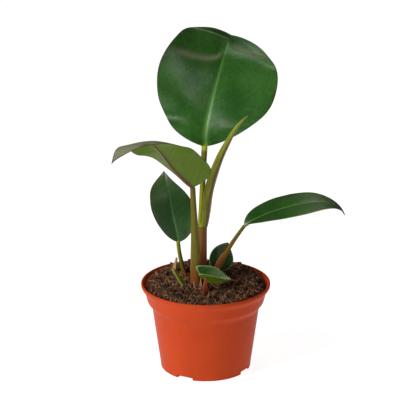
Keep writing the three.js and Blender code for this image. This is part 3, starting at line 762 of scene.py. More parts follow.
def rolled_finish(name, colors, edge_color):
    """Rolled leaf: its side veins wind round it as fine slanting lines, it pales to a pink-tipped
    point, and the marked edge has a colour of its own."""
    f = Finish(name, specular_ior_level=0.35)
    uv = f.surface()
    axes = [f.add("ShaderNodeSeparateXYZ", {}, {"Vector": uv}, output=axis) for axis in "XY"]
    slant = axes[1] - axes[0] * 1.7
    lines = slant.math("PINGPONG", 0.9).between(0.42, 0.05)
    streaks = f.noise(f.stretch(uv, (1.4, 0.08, 1)), 1, 4, 0.6)
    rise = f.mark("along")
    base = f.mix([c * 0.55 for c in colors.fresh], colors.fresh, streaks.between(0.34, 0.62))
    base = f.mix(base, colors.fresh_tip, rise.between(0.6, 0.95) * 0.8)
    base = f.mix(base, [c * 0.4 for c in colors.olive], lines * (1 - rise) * 0.5)
    base = f.mix(base, colors.blush, rise.between(0.97, 0.995))
    base = f.mix(base, edge_color, f.mark("edge").between(0.35, 0.9) * 0.9)
    return f.feed(
        base_color=base,
        roughness=streaks * 0.2 + 0.26,
        normal=f.bump(streaks * 0.5 - lines * 0.5, 0.0004),
    )


def compost_finish(name, colors, share, pale):
    """Damp compost with nearly black patches painted as the shade in the gaps between crumbs, and drier,
    paler crumbs among them.
    """
    f = Finish(name)
    place = f.place()
    clumps = f.noise(place, 240, 4, 0.7)
    grit = f.noise(place, 1300, 3, 0.7)
    # Nearly black: painted shade of the gaps between crumbs, laid in patches by the clumps noise.
    dark = [c * 0.16 for c in colors.compost]
    base = f.mix(dark, colors.compost, clumps.between(0.42, 0.6))
    brown = f.mix(colors.compost, pale, grit.between(0.36, 0.62))
    base = f.mix(base, brown, f.mark("tone") * share)
    return f.feed(
        base_color=base,
        roughness=grit * 0.2 + 0.72,
        normal=f.bump(grit * 0.6 + clumps * 0.4, 0.0006),
    )


def grain_finish(name, dark, light, roughness=0.8):
    """Dry material with lengthwise grain over the object's own coordinates."""
    f = Finish(name)
    grain = f.noise(f.stretch(f.place(), (900, 900, 160)), 1, 4, 0.65)
    clouds = f.noise(f.place(), 160, 3)
    return f.feed(
        base_color=f.mix(dark, light, (grain * 0.6 + clouds * 0.4).between(0.3, 0.7)),
        roughness=grain * 0.15 + roughness - 0.1,
        normal=f.bump(grain, 0.0004),
    )


# ---------------------------------------------------------------- pot

def rounded(corners, radii, steps=5):
    """Profile whose corners are cut back by a radius and joined by a curve: at each corner the
    point is a(1-x)^2 + 2bx(1-x) + cx^2, from a to c around the corner b."""
    corners = np.asarray(corners, float)
    x = np.linspace(0, 1, steps)[:, None]
    points = [corners[:1]]
    for before, corner, after, radius in zip(corners, corners[1:], corners[2:], radii):
        back, on = before - corner, after - corner
        reach_back = min(radius, np.linalg.norm(back) * 0.45) / np.linalg.norm(back)
        reach_on = min(radius, np.linalg.norm(on) * 0.45) / np.linalg.norm(on)
        a, c = corner + back * reach_back, corner + on * reach_on
        points.append(a * (1 - x) ** 2 + 2 * corner * x * (1 - x) + c * x ** 2)
    points.append(corners[-1:])
    return np.concatenate(points)


def inner_profile(gap):
    """Inner face of the pot from its floor to its lip, moved inwards by a gap."""
    shift = WALL + gap
    return [
        (BASE_RADIUS - shift - BASE_CORNER, FLOOR + gap),
        (BASE_RADIUS - shift, FLOOR + gap + BASE_CORNER),
        (BODY_TOP_RADIUS - shift, BODY_TOP + WALL / 2),
        (BAND_BOTTOM_RADIUS - shift, BAND_BOTTOM + WALL / 2),
        (BAND_TOP_RADIUS - shift, BAND_TOP),
    ]


def outer_profile():
    """Outer face of the pot: recessed underside, corner, tapered body, step, band and lip."""
    ring_inner = BASE_RADIUS - FOOT_RING_WIDTH
    return [
        (CENTRE_PAD_RADIUS, 0),
        (CENTRE_PAD_RADIUS + UNDERSIDE_RECESS, UNDERSIDE_RECESS),
        (ring_inner - UNDERSIDE_RECESS, UNDERSIDE_RECESS),
        (ring_inner, 0),
        (BASE_RADIUS, 0),
        (BASE_RADIUS + (BODY_TOP_RADIUS - BASE_RADIUS) * 0.02, BASE_CORNER),
        (BODY_TOP_RADIUS, BODY_TOP),
        (BAND_BOTTOM_RADIUS, BAND_BOTTOM),
        (BAND_TOP_RADIUS, BAND_TOP),
        (RIM_RADIUS, POT_HEIGHT - LIP_HEIGHT),
        (RIM_RADIUS, POT_HEIGHT),
        (RIM_RADIUS - WALL, POT_HEIGHT),
    ]


def turned_rings(profile, facets):
    """Rings of a profile of (radius, height) carried round the Z axis."""
    turn = np.arange(facets) * 2 * np.pi / facets
    profile = np.asarray(profile, float)
    radius, height = profile[:, :1], profile[:, 1:]
    return np.stack([radius * np.cos(turn), radius * np.sin(turn), height + 0 * turn], -1)


def box_mesh(name, low, high, turn):
    """Box between two corners, turned about the Z axis, as a cutter."""
    bm = bmesh.new()
    bmesh.ops.create_cube(bm, size=1)
    middle, size = (np.array(low) + high) / 2, np.array(high) - low
    for vertex in bm.verts:
        x, y, z = np.array(vertex.co) * size + middle
        vertex.co = (x * math.cos(turn) - y * math.sin(turn), x * math.sin(turn) + y * math.cos(turn), z)
    mesh = bpy.data.meshes.new(name)
    bm.to_mesh(mesh)
    bm.free()
    obj = bpy.data.objects.new(name, mesh)
    bpy.context.scene.collection.objects.link(obj)
    return obj


def cut(obj, cutters):
    """Cuts the cutters out of an object for good and removes them."""
    for cutter in cutters:
        modifier = obj.modifiers.new("slot", "BOOLEAN")
        modifier.operation = "DIFFERENCE"
        modifier.solver = "EXACT"
        modifier.object = cutter
    depsgraph = bpy.context.evaluated_depsgraph_get()
    mesh = bpy.data.meshes.new_from_object(obj.evaluated_get(depsgraph))
    old = obj.data
    obj.modifiers.clear()
    obj.data = mesh
    bpy.data.meshes.remove(old)
    for cutter in cutters:
        bpy.data.objects.remove(cutter)


def add_pot(scene):
    """Nursery pot: a rounded profile carried round the axis, less its drain slots."""
    radii = {3: 0.4, 4: BASE_CORNER * 0.8, 5: 2, 6: 2.2, 7: 1.6, 8: 2.4, 9: 1.4, 10: 0.9, 11: 0.5}
    corners = [*outer_profile(), *reversed(inner_profile(0))]
    profile = rounded(corners, [radii.get(i, 0.6) for i in range(1, len(corners) - 1)])
    points, faces, _, _ = ring_surface(turned_rings(profile, POT_SIDES))
    pot = make_object("nursery_pot_fine", points, faces, [plastic_finish(scene.plant_colors)])
    reach = SLOT_REACH + BASE_CORNER
    low = np.array([BASE_RADIUS - SLOT_REACH, -SLOT_WIDTH / 2, -SLOT_HEIGHT]) * MM
    high = np.array([BASE_RADIUS - SLOT_REACH + 2 * reach, SLOT_WIDTH / 2, SLOT_HEIGHT]) * MM
    turns = [math.radians(FIRST_SLOT_ANGLE + i * 360 / SLOT_COUNT) for i in range(SLOT_COUNT)]
    cut(pot, [box_mesh(f"slot_{i}", low, high, turn) for i, turn in enumerate(turns)])
    pot.data.set_sharp_from_angle(angle=math.radians(32))
    finish_piece(pot, "pot_plastic", "nursery_pot")


# ---------------------------------------------------------------- compost

def soil_height(x, y):
    """Height of the compost above the pot's underside: a low mound, tilted up to the back, with
    broad lumps that die out at the wall."""
    share = np.hypot(x, y) / BAND_TOP_RADIUS
    lumps = SOIL_LUMP * (np.sin(x * 0.41 + 1.3) * np.cos(y * 0.37) + np.sin(y * 0.23 + x * 0.17))
    return (POT_HEIGHT - SOIL_DROP + SOIL_MOUND * (1 - share ** 2)
            + SOIL_TILT * y / BAND_TOP_RADIUS + lumps * (1 - share ** 4))


def rough_height(x, y, lump):
    """Compost height with its lumps: rounded heaps of three sizes, lower towards the wall."""
    place = np.stack([x, y], -1)
    heaps = (np.abs(ripple(place, 17, SEED)) + 0.55 * np.abs(ripple(place, 8, SEED + 1))
             + 0.3 * np.abs(ripple(place, 3.6, SEED + 2)))
    share = np.clip(np.hypot(x, y) / BAND_TOP_RADIUS, 0, 1)
    return soil_height(x, y) + (heaps - 0.7) * lump * (1 - 0.5 * share ** 6)


def add_compost(scene):
    """Compost: a polar sheet of heaps above a skirt that follows the pot's inner wall."""
    settings = scene.compost_settings
    wall = np.array(inner_profile(CLEARANCE))
    edge = wall[-1, 0]
    rings = turned_rings(wall, COMPOST_SIDES)
    radius = edge * (1 - np.linspace(0, 1, COMPOST_RINGS)[:, None] ** 1.05) * 0.998 + 0.1
    turn = np.arange(COMPOST_SIDES) * 2 * np.pi / COMPOST_SIDES
    x, y = radius * np.cos(turn), radius * np.sin(turn)
    top = np.stack([x, y, rough_height(x, y, settings.lump / MM)], -1)
    rings = np.concatenate([rings[:-1], top])
    points, faces, _, _ = ring_surface(rings)
    tone = np.clip(ripple(points[:, :2], 9, SEED + 3) * 0.5 + 0.3, 0, 1)
    colors = scene.plant_colors
    finish = compost_finish("compost", colors, 0.3, colors.bark)
    obj = make_object("compost", points, faces, [finish], marks={"tone": tone})
    finish_piece(obj, "compost", "potting_soil")


def random_turns(rng, count):
    """Random rotation matrices, from random unit quaternions."""
    q = rng.normal(size=(count, 4))
    w, x, y, z = (q / np.linalg.norm(q, axis=1, keepdims=True)).T
    return np.stack([
        1 - 2 * (y * y + z * z), 2 * (x * y - z * w), 2 * (x * z + y * w),
        2 * (x * y + z * w), 1 - 2 * (x * x + z * z), 2 * (y * z - x * w),
        2 * (x * z - y * w), 2 * (y * z + x * w), 1 - 2 * (x * x + y * y),
    ], -1).reshape(count, 3, 3)


def crumb_shape():
    """Points and outward faces of a twenty-sided lump of radius 1."""
    bm = bmesh.new()
    bmesh.ops.create_icosphere(bm, subdivisions=1, radius=1)
    points = np.array([vertex.co for vertex in bm.verts])
    faces = np.array([[vertex.index for vertex in face.verts] for face in bm.faces])
    bm.free()
    return points, faces


def scatter(rng, count, reach):
    """Places spread evenly over the compost within a radius."""
    radius = reach * np.sqrt(rng.uniform(0, 1, count))
    turn = rng.uniform(0, 2 * np.pi, count)
    return radius * np.cos(turn), radius * np.sin(turn)


def lumps_mesh(rng, x, y, size, stretch, lump, sink=0.1):
    """Angular lumps on the compost: each a jittered twenty-sided solid, stretched along its own
    axes by given shares and turned at random."""
    points, faces = crumb_shape()
    count = len(x)
    body = points * rng.uniform(0.72, 1.2, (count, len(points), 1)) * stretch[:, None]
    body = np.einsum("nij,npj->npi", random_turns(rng, count), body) * size[:, None, None]
    centre = np.stack([x, y, rough_height(x, y, lump) + size * (0.45 - sink)], -1)
    all_faces = faces + np.arange(count)[:, None, None] * len(points)
    return (body + centre[:, None]).reshape(-1, 3), all_faces.reshape(-1, 3).tolist(), len(points)


def add_compost_bits(scene):
    """Bark crumbs, loose fibres and a few white grains that lie on the compost."""
    settings, colors = scene.compost_settings, scene.plant_colors
    lump = settings.lump / MM
    rng = np.random.default_rng(SEED)
    count = settings.crumbs
    x, y = scatter(rng, count, BARK_REACH)
    size = settings.crumb_size / MM * rng.lognormal(0, 0.42, count).clip(0.4, 2.6)
    size = np.where(np.hypot(x, y) + size > BARK_LIMIT, size * 0.5, size)
    stretch = rng.uniform([0.8, 0.45, 0.3], [1.5, 0.9, 0.7], (count, 3))
    points, faces, each = lumps_mesh(rng, x, y, size, stretch, lump)
    tone = np.repeat(rng.beta(0.5, 1.9, count), each)
    bark = compost_finish("compost_bark", colors, 1, colors.bark)
    crumbs = make_object("compost_bark", points, faces, [bark], marks={"tone": tone}, smooth=False)
    finish_piece(crumbs, "compost")
    add_fibres(settings, colors, rng)
    x, y = scatter(rng, WHITE_GRAINS, GRAIN_REACH)
    size = rng.uniform(0.4, 0.8, WHITE_GRAINS)
    stretch = rng.uniform(0.8, 1.1, (WHITE_GRAINS, 3))
    points, faces, _ = lumps_mesh(rng, x, y, size, stretch, lump, sink=-0.5)
    white = grain_finish("white_grain", (0.5, 0.48, 0.44), (0.82, 0.8, 0.76))
    finish_piece(make_object("compost_grit", points, faces, [white], smooth=False), "compost")


def add_fibres(settings, colors, rng):
    """Fibres: three-sided threads that follow a turning path over the compost and lift a little
    in the middle."""
    count, stations = settings.fibres, 6
    x, y = scatter(rng, count, FIBRE_REACH)
    length = settings.fibre_length / MM * rng.uniform(0.3, 1.3, count)
    heading = (rng.uniform(0, 2 * np.pi, count)[:, None]
               + rng.normal(0, 0.9, count)[:, None] * np.linspace(-0.5, 0.5, stations))
    step = length[:, None] / (stations - 1)
    px = x[:, None] + np.cumsum(np.cos(heading) * step, 1) - length[:, None] * np.cos(heading) / 2
    py = y[:, None] + np.cumsum(np.sin(heading) * step, 1) - length[:, None] * np.sin(heading) / 2
    reach = np.hypot(px, py)
    shrink = np.minimum(1, FIBRE_LIMIT / np.maximum(reach, 1e-6))
    px, py = px * shrink, py * shrink
    bow = np.sin(np.linspace(0, np.pi, stations)) * rng.uniform(0.1, 1, count)[:, None]
    pz = rough_height(px, py, settings.lump / MM) + 1.3 + bow + rng.uniform(-0.3, 0.8, count)[:, None]
    radius = rng.uniform(0.16, 0.5, count)[:, None] * (1 - 0.6 * np.linspace(0, 1, stations))
    around = np.arange(3) * 2 * np.pi / 3
    side = np.stack([-np.sin(heading), np.cos(heading), 0 * heading], -1)
    points = (np.stack([px, py, pz], -1)[:, :, None]
              + radius[..., None, None] * (side[:, :, None] * np.cos(around)[:, None]
                                           + np.array([0, 0, 1]) * np.sin(around)[:, None]))
    i, k = np.meshgrid(np.arange(stations - 1), np.arange(3), indexing="ij")
    i, k, on = i.ravel(), k.ravel(), (k.ravel() + 1) % 3
    quads = np.stack([i * 3 + k, i * 3 + on, (i + 1) * 3 + on, (i + 1) * 3 + k], -1)
    last = (stations - 1) * 3
    first_thread = np.arange(count)[:, None, None] * stations * 3
    faces = [*(quads + first_thread).reshape(-1, 4).tolist(),
             *(np.array([[2, 1, 0], [last, last + 1, last + 2]]) + first_thread).reshape(-1, 3).tolist()]
    tone = np.repeat(rng.uniform(0.5, 1.6, count), stations * 3)
    finish = compost_finish("compost_fibre", colors, 1, colors.fibre)
    fibres = make_object("compost_fibres", points.reshape(-1, 3), faces, [finish],
                         marks={"tone": tone})
    finish_piece(fibres, "compost")


# ---------------------------------------------------------------- stalks

def stalk_rings(path, shape, length, mould=None, overrun=0, underrun=0, rounding=0.7, stations=140,
                around=64):
    """Rings round a growth path: centre + up cos(turn) depth/2 + side sin(turn) width/2, times
    what mould gives for (u, turn), with both ends rounded off over a share of their width. The
    last tenth stretches by overrun, into the piece that the stalk carries, and the first tenth
    by underrun, into the piece that carries it."""
    u = crowded(stations, 0.6)
    turn = np.arange(around) * 2 * np.pi / around
    point, forward, side, up = path.at(u)
    stretch = overrun * np.clip((u - 0.9) / 0.1, 0, 1) - underrun * np.clip((0.1 - u) / 0.1, 0, 1)
    point = point + forward * stretch[:, None]
    half_width = along(shape["width"], u) / 2
    half_depth = along(shape["depth"], u) / 2
    for half in (half_width, half_depth):
        end = np.minimum(u, 1 - u) * length / np.maximum(half, 0.1)
        half *= np.sqrt(1 - (1 - np.clip(end / rounding, 0, 1)) ** 2)
    swell = 1 if mould is None else mould(u[:, None], turn[None])
    wide = (half_width[:, None] * np.sin(turn) * swell)[..., None]
    deep = (half_depth[:, None] * np.cos(turn) * swell)[..., None]
    return point[:, None] + up[:, None] * deep + side[:, None] * wide, u, turn


def add_stalk(name, path, sizes, material, slot, mould=None, edge=None, **grid):
    """A stalk with its surface coordinates in millimetres and its share along as a mark."""
    shape = STALKS[name]
    length = size_of(sizes, name, "length")
    rings, u, turn = stalk_rings(path, shape, length, mould, **grid)
    points, faces, rows, columns = ring_surface(rings)
    girth = np.pi * (np.mean(shape["width"]) + np.mean(shape["depth"])) / 2
    uv = np.stack([columns / len(turn) * girth, u[rows] * length], -1)
    rise = np.concatenate([np.repeat(u, len(turn)), [0, 1]])
    marks = {"along": rise}
    if edge is not None:
        marks["edge"] = np.concatenate([edge(u[:, None], turn[None]).ravel(), [0, 0]])
    obj = make_object(f"{name}_fine", points, faces, [material], uv=uv, marks=marks)
    return finish_piece(obj, slot, name)


def hump(turn, at, width):
    """Smooth hump of height 1 at an angle round a stalk, in degrees."""
    away = (turn - np.radians(at) + np.pi) % (2 * np.pi) - np.pi
    return np.exp(-(away / np.radians(width)) ** 2)


def fade(u, start, end):
    """1 before start, 0 past end and smooth between."""
    x = np.clip((u - start) / (end - start), 0, 1)
    return 1 - x * x * (3 - 2 * x)


def fluted(u, turn, depth=0.025, waves=7):
    """Shallow lengthwise flutes that wander a little."""
    return 1 + depth * np.sin(waves * turn + 1.5 * np.sin(5 * u))


def split_mould(u, turn):
    """Main stalk: a lengthwise split between two overlapping sheaths, and shallow flutes."""
    split = hump(turn, 195, 9) * fade(u, 0.85, 1)
    return fluted(u, turn) - 0.13 * split + 0.05 * hump(turn, 176, 20)


def channel_mould(u, turn):
    """Petiole: a channel on its inner face between two low edges."""
    edges = hump(turn, 48, 18) + hump(turn, -48, 18)
    return fluted(u, turn, 0.015) - 0.16 * hump(turn, 0, 30) + 0.08 * edges


def sheath_mould(u, turn):
    """Petiole with a clasping sheath: two wing edges stand up beside the channel near the foot."""
    low = fade(u, 0.5, 0.58)
    wings = hump(turn, 52, 11) + hump(turn, -52, 11)
    return fluted(u, turn, 0.015) + low * (0.5 * wings - 0.3 * hump(turn, 0, 26)) - 0.1 * hump(turn, 0, 26)


def wing_edge(u, turn):
    """1 on the wing edges of the clasping sheath and 0 away from them."""
    return fade(u, 0.5, 0.58) * (hump(turn, 50, 14) + hump(turn, -50, 14))


def collar_mould(u, turn):
    """Collar: a swollen ring with a scar line round its middle."""
    return 1.03 + 0.03 * np.sin(9 * turn) - 0.08 * np.exp(-((u - 0.55) / 0.12) ** 2)


def add_stalks(scene):
    """Main stalk, collar and petioles."""
    sizes, colors = scene.plant_sizes, scene.plant_colors
    paths = plant_layout(sizes)
    moulds = {
        "main_stalk": split_mould, "stalk_collar": collar_mould, "right_leaf_petiole": sheath_mould,
    }
    for name, look in STALK_LOOKS.items():
        paints = {part: getattr(colors, look[part])
                  for part in ("low", "high", "blush", "edge_color", "tip") if part in look}
        finish = stalk_finish(look["finish"], change=look["change"],
                              blush_share=look["blush_share"], **paints)
        add_stalk(name, paths[name], sizes, finish, STALK_SLOTS[name],
                  moulds.get(name, channel_mould), wing_edge if "edge_color" in look else None,
                  overrun=STALK_OVERRUN, underrun=STALK_OVERRUN,
                  rounding=0.15 if name == "stalk_collar" else 0.5)


def wound_share(u, turn):
    """How far round the rolled leaf a point lies from its seam, from 0 to 1."""
    return ((turn - np.radians(150) + 0.9 * u) % (2 * np.pi)) / (2 * np.pi)


def rolled_mould(u, turn):
    """Rolled leaf: its radius shrinks round one turn, which leaves a step at the seam, and its
    loose outer turn makes it fuller than its core."""
    return (1.06 - 0.16 * wound_share(u, turn)) * ROLLED_FULLNESS


def seam_edge(u, turn):
    """1 on the outer lip of the seam, fading round the side behind it, and 0 away from it."""
    return np.clip(1 - wound_share(u, turn) / 0.2, 0, 1)


def hollow_mould(u, turn):
    """Scale or half-rolled blade: its inner face is hollow."""
    return 1 - 0.75 * hump(turn, 0, 52)


def stub_mould(u, turn):
    """Dry stub: frayed into flutes and thicker than its core."""
    return STUB_FULLNESS * fluted(u, turn, 0.06, 5)


def hollow_face(u, turn):
    """1 on the hollow inner face and 0 on the outer one."""
    return hump(turn, 0, 62) + 0 * u


def add_new_leaf(scene):
    """Rolled new leaf and the half-rolled leaf at the plant's foot."""
    sizes, colors = scene.plant_sizes, scene.plant_colors
    paths = plant_layout(sizes)
    rolled = rolled_finish("new_growth", colors, [c * 0.5 for c in colors.red])
    add_stalk("new_leaf", paths["new_leaf"], sizes, rolled, "new_growth", rolled_mould, seam_edge,
              stations=240, around=128,
              underrun=2 * STALK_OVERRUN, rounding=0.5)
    add_stalk("curled_leaf", paths["curled_leaf"], sizes,
              rolled_finish("curled_growth", colors, colors.leaf_deep), "new_growth", hollow_mould,
              hollow_face)


def add_scales(scene):
    """Bracts, the dry stub and dry strips at the plant's foot."""
    sizes, colors = scene.plant_sizes, scene.plant_colors
    paths = plant_layout(sizes)
    bract = stalk_finish("bract", colors.red, colors.red, colors.blush, (0, 1), 0.6)
    dry = stalk_finish("dry_scale", colors.straw, colors.straw, colors.bark, (0, 1), 0.7)
    for name, slot in SCALE_SLOTS.items():
        mould = stub_mould if name == "dry_stub" else hollow_mould
        add_stalk(name, paths[name], sizes, bract if slot == "red_scale" else dry, slot, mould, rounding=0.4)


def add_roots(scene):
    """Finish of the buried crown and roots, whose CAD shapes are kept."""
    colors = scene.plant_colors
    finish = grain_finish("root", [c * 0.5 for c in colors.root], colors.root)
    for name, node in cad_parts.items():
        if name.startswith(("root_crown", "main_root")):
            node.data.materials.clear()
            node.data.materials.append(finish)


# ---------------------------------------------------------------- blades

def blade_outline(shape, u):
    """Half width at u as a share of the broadest: sin(pi u^broad) to a power that goes from the
    base's roundness to the tip's."""
    power = shape["base_round"] + (shape["tip_round"] - shape["base_round"]) * u
    return np.maximum(np.sin(np.pi * u ** shape["broad"]), 0) ** power


def ledge_marks(run, signed, wide, left_over):
    """Drop in mm over the top blade's ledges, and three marks: the painted highlight along the
    ledges, the painted highlight along the fold line near the tip, and the painted shade past that
    line and past the ledges that are marked dark. A ledge is a smooth step that dies out again past
    it, beside the midrib and towards the margin, left_over mm away."""
    drop, mark, beyond = 0 * run, 0 * run, 0 * run
    for ledge in LEDGES:
        past = run - ledge["at"] - ledge["lean"] * wide - ledge["lift"] * np.exp(-wide / 6)
        here = (signed * ledge["side"] > 0) * np.clip(wide / 5, 0, 1) * np.clip(left_over / 12, 0, 1)
        step = 1 / (1 + np.exp(-np.clip(past / LEDGE_WIDTH, -30, 30)))
        drop = drop + here * ledge["drop"] * step * np.exp(-np.clip(past, 0, None) / LEDGE_RECOVERY)
        # Painted highlight along each ledge.
        mark = mark + here * np.exp(-(past / (1.6 * LEDGE_WIDTH)) ** 2)
        # Painted shade past a ledge that is marked dark.
        beyond = beyond + ledge["dark"] * np.clip((past - 3) / 3, 0, 1) * here
    # Painted highlight along the fold line near the tip of the left half, and painted shade past it.
    past = run - CREASE_AT - CREASE_LEAN * wide
    left = signed <= 0
    return drop, {"ledge": mark, "crease": left * np.exp(-(past / 0.5) ** 2),
                  "beyond": np.maximum(left * np.clip(past / 2, 0, 1), beyond)}


def blade_grid(path, shape, length):
    """Blade as closed rings: across the upper face from left margin to right and back along the
    lower one. Each half leaves the midrib at the fold angle and bends on evenly, so that a row
    is two arcs; it is thickest inside and closes at the margin as sqrt(1 - t^12), has a keel
    below the midrib, and swells gently between its side veins."""
    first = 0.0012
    even = np.linspace(0, 1, BLADE_ROWS)
    u = (first + (1 - 2 * first) * (0.35 * even + 0.65 * (1 - np.cos(np.pi * even)) / 2))[:, None]
    x = crowded(BLADE_HALF_COLUMNS + 1, 0.75)
    across = np.concatenate([-x[:0:-1], x])
    t = np.concatenate([across, across[-2:0:-1]])[None]
    face = np.concatenate([np.ones(len(across)), -np.ones(len(across) - 2)])[None]
    scale = length / shape["length"]
    half_width = scale * blade_outline(shape, u) * np.where(
        t < 0, shape["left"] * along(shape["left_trim"], u), shape["right"] * along(shape["right_trim"], u))
    fold = np.radians(along(shape["fold"], u))
    bend = np.radians(along(shape["bend"], u))
    bend = np.where(np.abs(bend) < 1e-6, 1e-6, bend)
    angle = fold + bend * np.abs(t)
    sign = np.sign(t)
    out = half_width * (np.sin(angle) - np.sin(fold)) / bend
    lift = half_width * (np.cos(fold) - np.cos(angle)) / bend
    back = shape["sweep"] * t ** 2 * half_width * (1 - u) ** 4
    wide = half_width * np.abs(t)
    run = u * length + 0 * t
    vein = run - shape["vein_lean"] * wide * 0.75 - 0.006 * wide ** 2
    gap = shape["vein_gap"] / 2
    away = np.abs((vein / gap) % 2 - 1) * gap
    inside = np.clip(wide / 6, 0, 1) * np.clip((half_width - wide) / 4, 0, 1)
    flat = np.stack([sign * wide, run], -1)
    swell = shape["swell"] * ripple(flat, 42, SEED + 11) * np.clip(wide / 12, 0, 1)
    swell -= 0.012 * inside * np.exp(-((away - gap) / (0.35 * gap)) ** 2)
    folds = {}
    if shape is BLADES["top_leaf"]:
        drop, folds = ledge_marks(run, sign * wide, wide, half_width - wide)
        swell = swell - drop
    rib = shape["rib"] * (1 - 0.72 * u)
    keel = np.where(face < 0, 0.42 * rib * np.exp(-(wide / (0.5 * rib)) ** 2), 0)
    thick = HALF_BLADE * np.sqrt(np.clip(1 - np.abs(t) ** 12, 0, 1))
    trough = np.where(face > 0, 0.12 * np.exp(-(wide / (0.35 * rib)) ** 2), 0)
    point, forward, side, up = (a[:, None] for a in path.at(u[:, 0]))
    middle = (point + side * (sign * out)[..., None] + up * lift[..., None]
              - forward * back[..., None])
    normal = up * np.cos(angle)[..., None] - side * (sign * np.sin(angle))[..., None]
    rings = middle + normal * (swell + face * (thick + keel) - trough)[..., None]
    marks = {
        "under": np.broadcast_to((face < 0).astype(float), wide.shape),
        "rib": np.exp(-(wide / (0.54 * rib)) ** 4),
        "edge": half_width - wide,
        "along": u + 0 * t,
        **folds,
    }
    return rings, vein, sign * wide, marks


def add_blade(name, path, sizes, material):
    """One blade with its surface coordinates: along a side vein's run and out from the midrib."""
    shape = BLADES[name]
    rings, vein, wide, marks = blade_grid(path, shape, size_of(sizes, name, "length"))
    points, faces, rows, columns = ring_surface(rings)
    columns = columns % rings.shape[1]
    uv = np.stack([vein[rows, columns], wide[rows, columns]], -1)
    ends = {key: np.concatenate([value.ravel(), value[:1, 0], value[-1:, 0]])
            for key, value in marks.items()}
    obj = make_object(f"{name}_fine", points, faces, [material], uv=uv, marks=ends)
    return finish_piece(obj, "leaf", name)


def add_leaves(scene):
    """The six open blades."""
    sizes, colors = scene.plant_sizes, scene.plant_colors
    paths = plant_layout(sizes)
    for name, shape in BLADES.items():
        rib_color = [c * 0.42 for c in colors.red] if name == "arching_leaf" else colors.olive
        finish = leaf_finish(name, colors, LEAF_LOOKS[name], rib_color, shape["vein_gap"])
        add_blade(name, paths[name], sizes, finish)


# ---------------------------------------------------------------- stage

def aim(obj, target):
    """Turns a light so that it shines at a point."""
    way = np.array(target) - np.array(obj.location)
    flat = math.hypot(way[0], way[1])
    obj.rotation_euler = (math.atan2(flat, -way[2]), 0, math.atan2(-way[0], way[1]))


def softbox(name, key, location, size, share, target=(0, 0, 0.13), spread=180):
    """Rectangular area light aimed at the plant, with a share of the key light's power."""
    light = bpy.data.lights.new(name, "AREA")
    light.shape = "RECTANGLE"
    light.size, light.size_y = size
    light.energy = key * share
    light.spread = math.radians(spread)
    obj = bpy.data.objects.new(name, light)
    obj.location = location
    aim(obj, target)
    bpy.context.scene.collection.objects.link(obj)


def add_stage(scene):
    """White floor and surround, softboxes and camera."""
    settings = scene.stage_settings
    floor_finish = Finish("floor", roughness=0.9, specular_ior_level=0.0, emission_color=(1, 1, 1, 1),
                          emission_strength=0.92)
    clouds = floor_finish.noise(floor_finish.place(), 3, 2)
    floor_finish.feed(base_color=floor_finish.mix((0.33, 0.33, 0.33), (0.36, 0.36, 0.36), clouds))
    level = POT_LOW[2] / MM
    corners = np.array([(-1, -1), (1, -1), (1, 1), (-1, 1)]) * FLOOR_HALF_SPAN / MM
    points = np.column_stack([corners, np.full(4, level)])
    floor = make_object("floor", points, [(0, 1, 2, 3)], [floor_finish.material], smooth=False)

    world = bpy.data.worlds.new("surround")
    world.use_nodes = True
    nodes, links = world.node_tree.nodes, world.node_tree.links
    dim, seen = nodes["Background"], nodes.new("ShaderNodeBackground")
    for background, strength in ((dim, settings.sky), (seen, SEEN_SURROUND)):
        background.inputs["Color"].default_value = (1, 1, 1, 1)
        background.inputs["Strength"].default_value = strength
    path, mix = nodes.new("ShaderNodeLightPath"), nodes.new("ShaderNodeMixShader")
    links.new(path.outputs["Is Camera Ray"], mix.inputs[0])
    links.new(dim.outputs[0], mix.inputs[1])
    links.new(seen.outputs[0], mix.inputs[2])
    links.new(mix.outputs[0], nodes["World Output"].inputs["Surface"])
    scene.world = world
    for name, box in SOFTBOXES.items():
        softbox(name, settings.key, **box)

    camera = bpy.data.cameras.new("camera")
    camera.sensor_width = 36
    camera.lens = settings.lens
    camera.clip_end = 100
    obj = bpy.data.objects.new("camera", camera)
    obj.location = CAMERA_PLACE
    obj.rotation_euler = (math.pi / 2 - settings.tilt, 0, CAMERA_TURN)
    scene.collection.objects.link(obj)
    scene.camera = obj
    scene.view_settings.view_transform = "Standard"


# ---------------------------------------------------------------- operators and panel

class BuildPot(bpy.types.Operator):
    """Build the moulded nursery pot"""

    bl_idname = "philodendron.pot"
    bl_label = "Nursery pot"

    def execute(self, context):
        add_pot(context.scene)
        return {"FINISHED"}


class BuildCompost(bpy.types.Operator):
    """Build the compost that fills the pot"""

    bl_idname = "philodendron.compost"
    bl_label = "Compost"

    def execute(self, context):
        add_compost(context.scene)
        return {"FINISHED"}


class BuildCompostBits(bpy.types.Operator):
    """Scatter bark crumbs, fibres and white grains over the compost"""

    bl_idname = "philodendron.compost_bits"
    bl_label = "Bark and fibres"

    def execute(self, context):
        add_compost_bits(context.scene)
        return {"FINISHED"}


class BuildStalks(bpy.types.Operator):
    """Build the main stalk, its collar and the petioles"""

    bl_idname = "philodendron.stalks"
    bl_label = "Stalks"

    def execute(self, context):
        add_stalks(context.scene)
        return {"FINISHED"}


class BuildLeaves(bpy.types.Operator):
    """Build the six open blades"""

    bl_idname = "philodendron.leaves"
    bl_label = "Leaves"

    def execute(self, context):
        add_leaves(context.scene)
        return {"FINISHED"}


class BuildNewLeaf(bpy.types.Operator):
    """Build the rolled new leaf and the half-rolled one"""

    bl_idname = "philodendron.new_leaf"
    bl_label = "New leaf"

    def execute(self, context):
        add_new_leaf(context.scene)
        return {"FINISHED"}


class BuildScales(bpy.types.Operator):
    """Build the bracts and dry scales at the plant's foot"""

    bl_idname = "philodendron.scales"
    bl_label = "Bracts and dry scales"

    def execute(self, context):
        add_scales(context.scene)
        return {"FINISHED"}


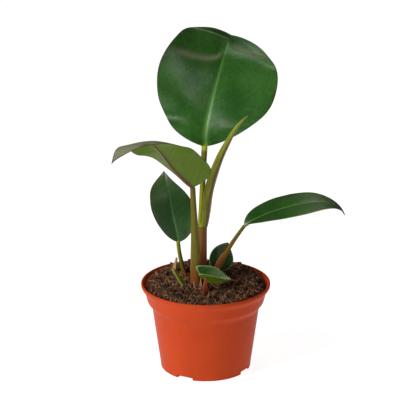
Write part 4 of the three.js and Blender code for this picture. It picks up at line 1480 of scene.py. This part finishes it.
class FinishRoots(bpy.types.Operator):
    """Give the buried crown and roots their finish"""

    bl_idname = "philodendron.roots"
    bl_label = "Roots"

    def execute(self, context):
        add_roots(context.scene)
        return {"FINISHED"}


class BuildStage(bpy.types.Operator):
    """Build the floor, the lights and the camera"""

    bl_idname = "philodendron.stage"
    bl_label = "Stage"

    def execute(self, context):
        add_stage(context.scene)
        return {"FINISHED"}


OPERATORS = (BuildPot, BuildCompost, BuildCompostBits, BuildStalks, BuildLeaves, BuildNewLeaf,
             BuildScales, FinishRoots, BuildStage)
GROUPS = {
    "plant_sizes": PlantSizes, "compost_settings": CompostSettings,
    "plant_colors": PlantColors, "stage_settings": StageSettings,
}


class PhilodendronPanel(bpy.types.Panel):
    """Sizes, colours and build steps of the potted philodendron"""

    bl_idname = "VIEW3D_PT_philodendron"
    bl_label = "Philodendron"
    bl_space_type = "VIEW_3D"
    bl_region_type = "UI"
    bl_category = "Philodendron"

    def draw(self, context):
        layout = self.layout
        for operator in OPERATORS:
            layout.operator(operator.bl_idname)
        for group in GROUPS:
            box = layout.box()
            settings = getattr(context.scene, group)
            for key in settings.__annotations__:
                box.prop(settings, key)


def register():
    """Registers the classes and hangs the settings on the scene."""
    for cls in (*GROUPS.values(), *OPERATORS, PhilodendronPanel):
        bpy.utils.register_class(cls)
    for key, group in GROUPS.items():
        setattr(bpy.types.Scene, key, PointerProperty(type=group))


def unregister():
    """Takes the settings and the classes away again."""
    for key in GROUPS:
        delattr(bpy.types.Scene, key)
    for cls in (PhilodendronPanel, *reversed(OPERATORS), *reversed(GROUPS.values())):
        bpy.utils.unregister_class(cls)


def main():
    """Builds every piece in order."""
    register()
    for operator in (bpy.ops.philodendron.stage, bpy.ops.philodendron.pot,
                     bpy.ops.philodendron.compost, bpy.ops.philodendron.compost_bits,
                     bpy.ops.philodendron.stalks, bpy.ops.philodendron.leaves,
                     bpy.ops.philodendron.new_leaf, bpy.ops.philodendron.scales,
                     bpy.ops.philodendron.roots):
        operator()


if __name__ == "__main__":
    main()
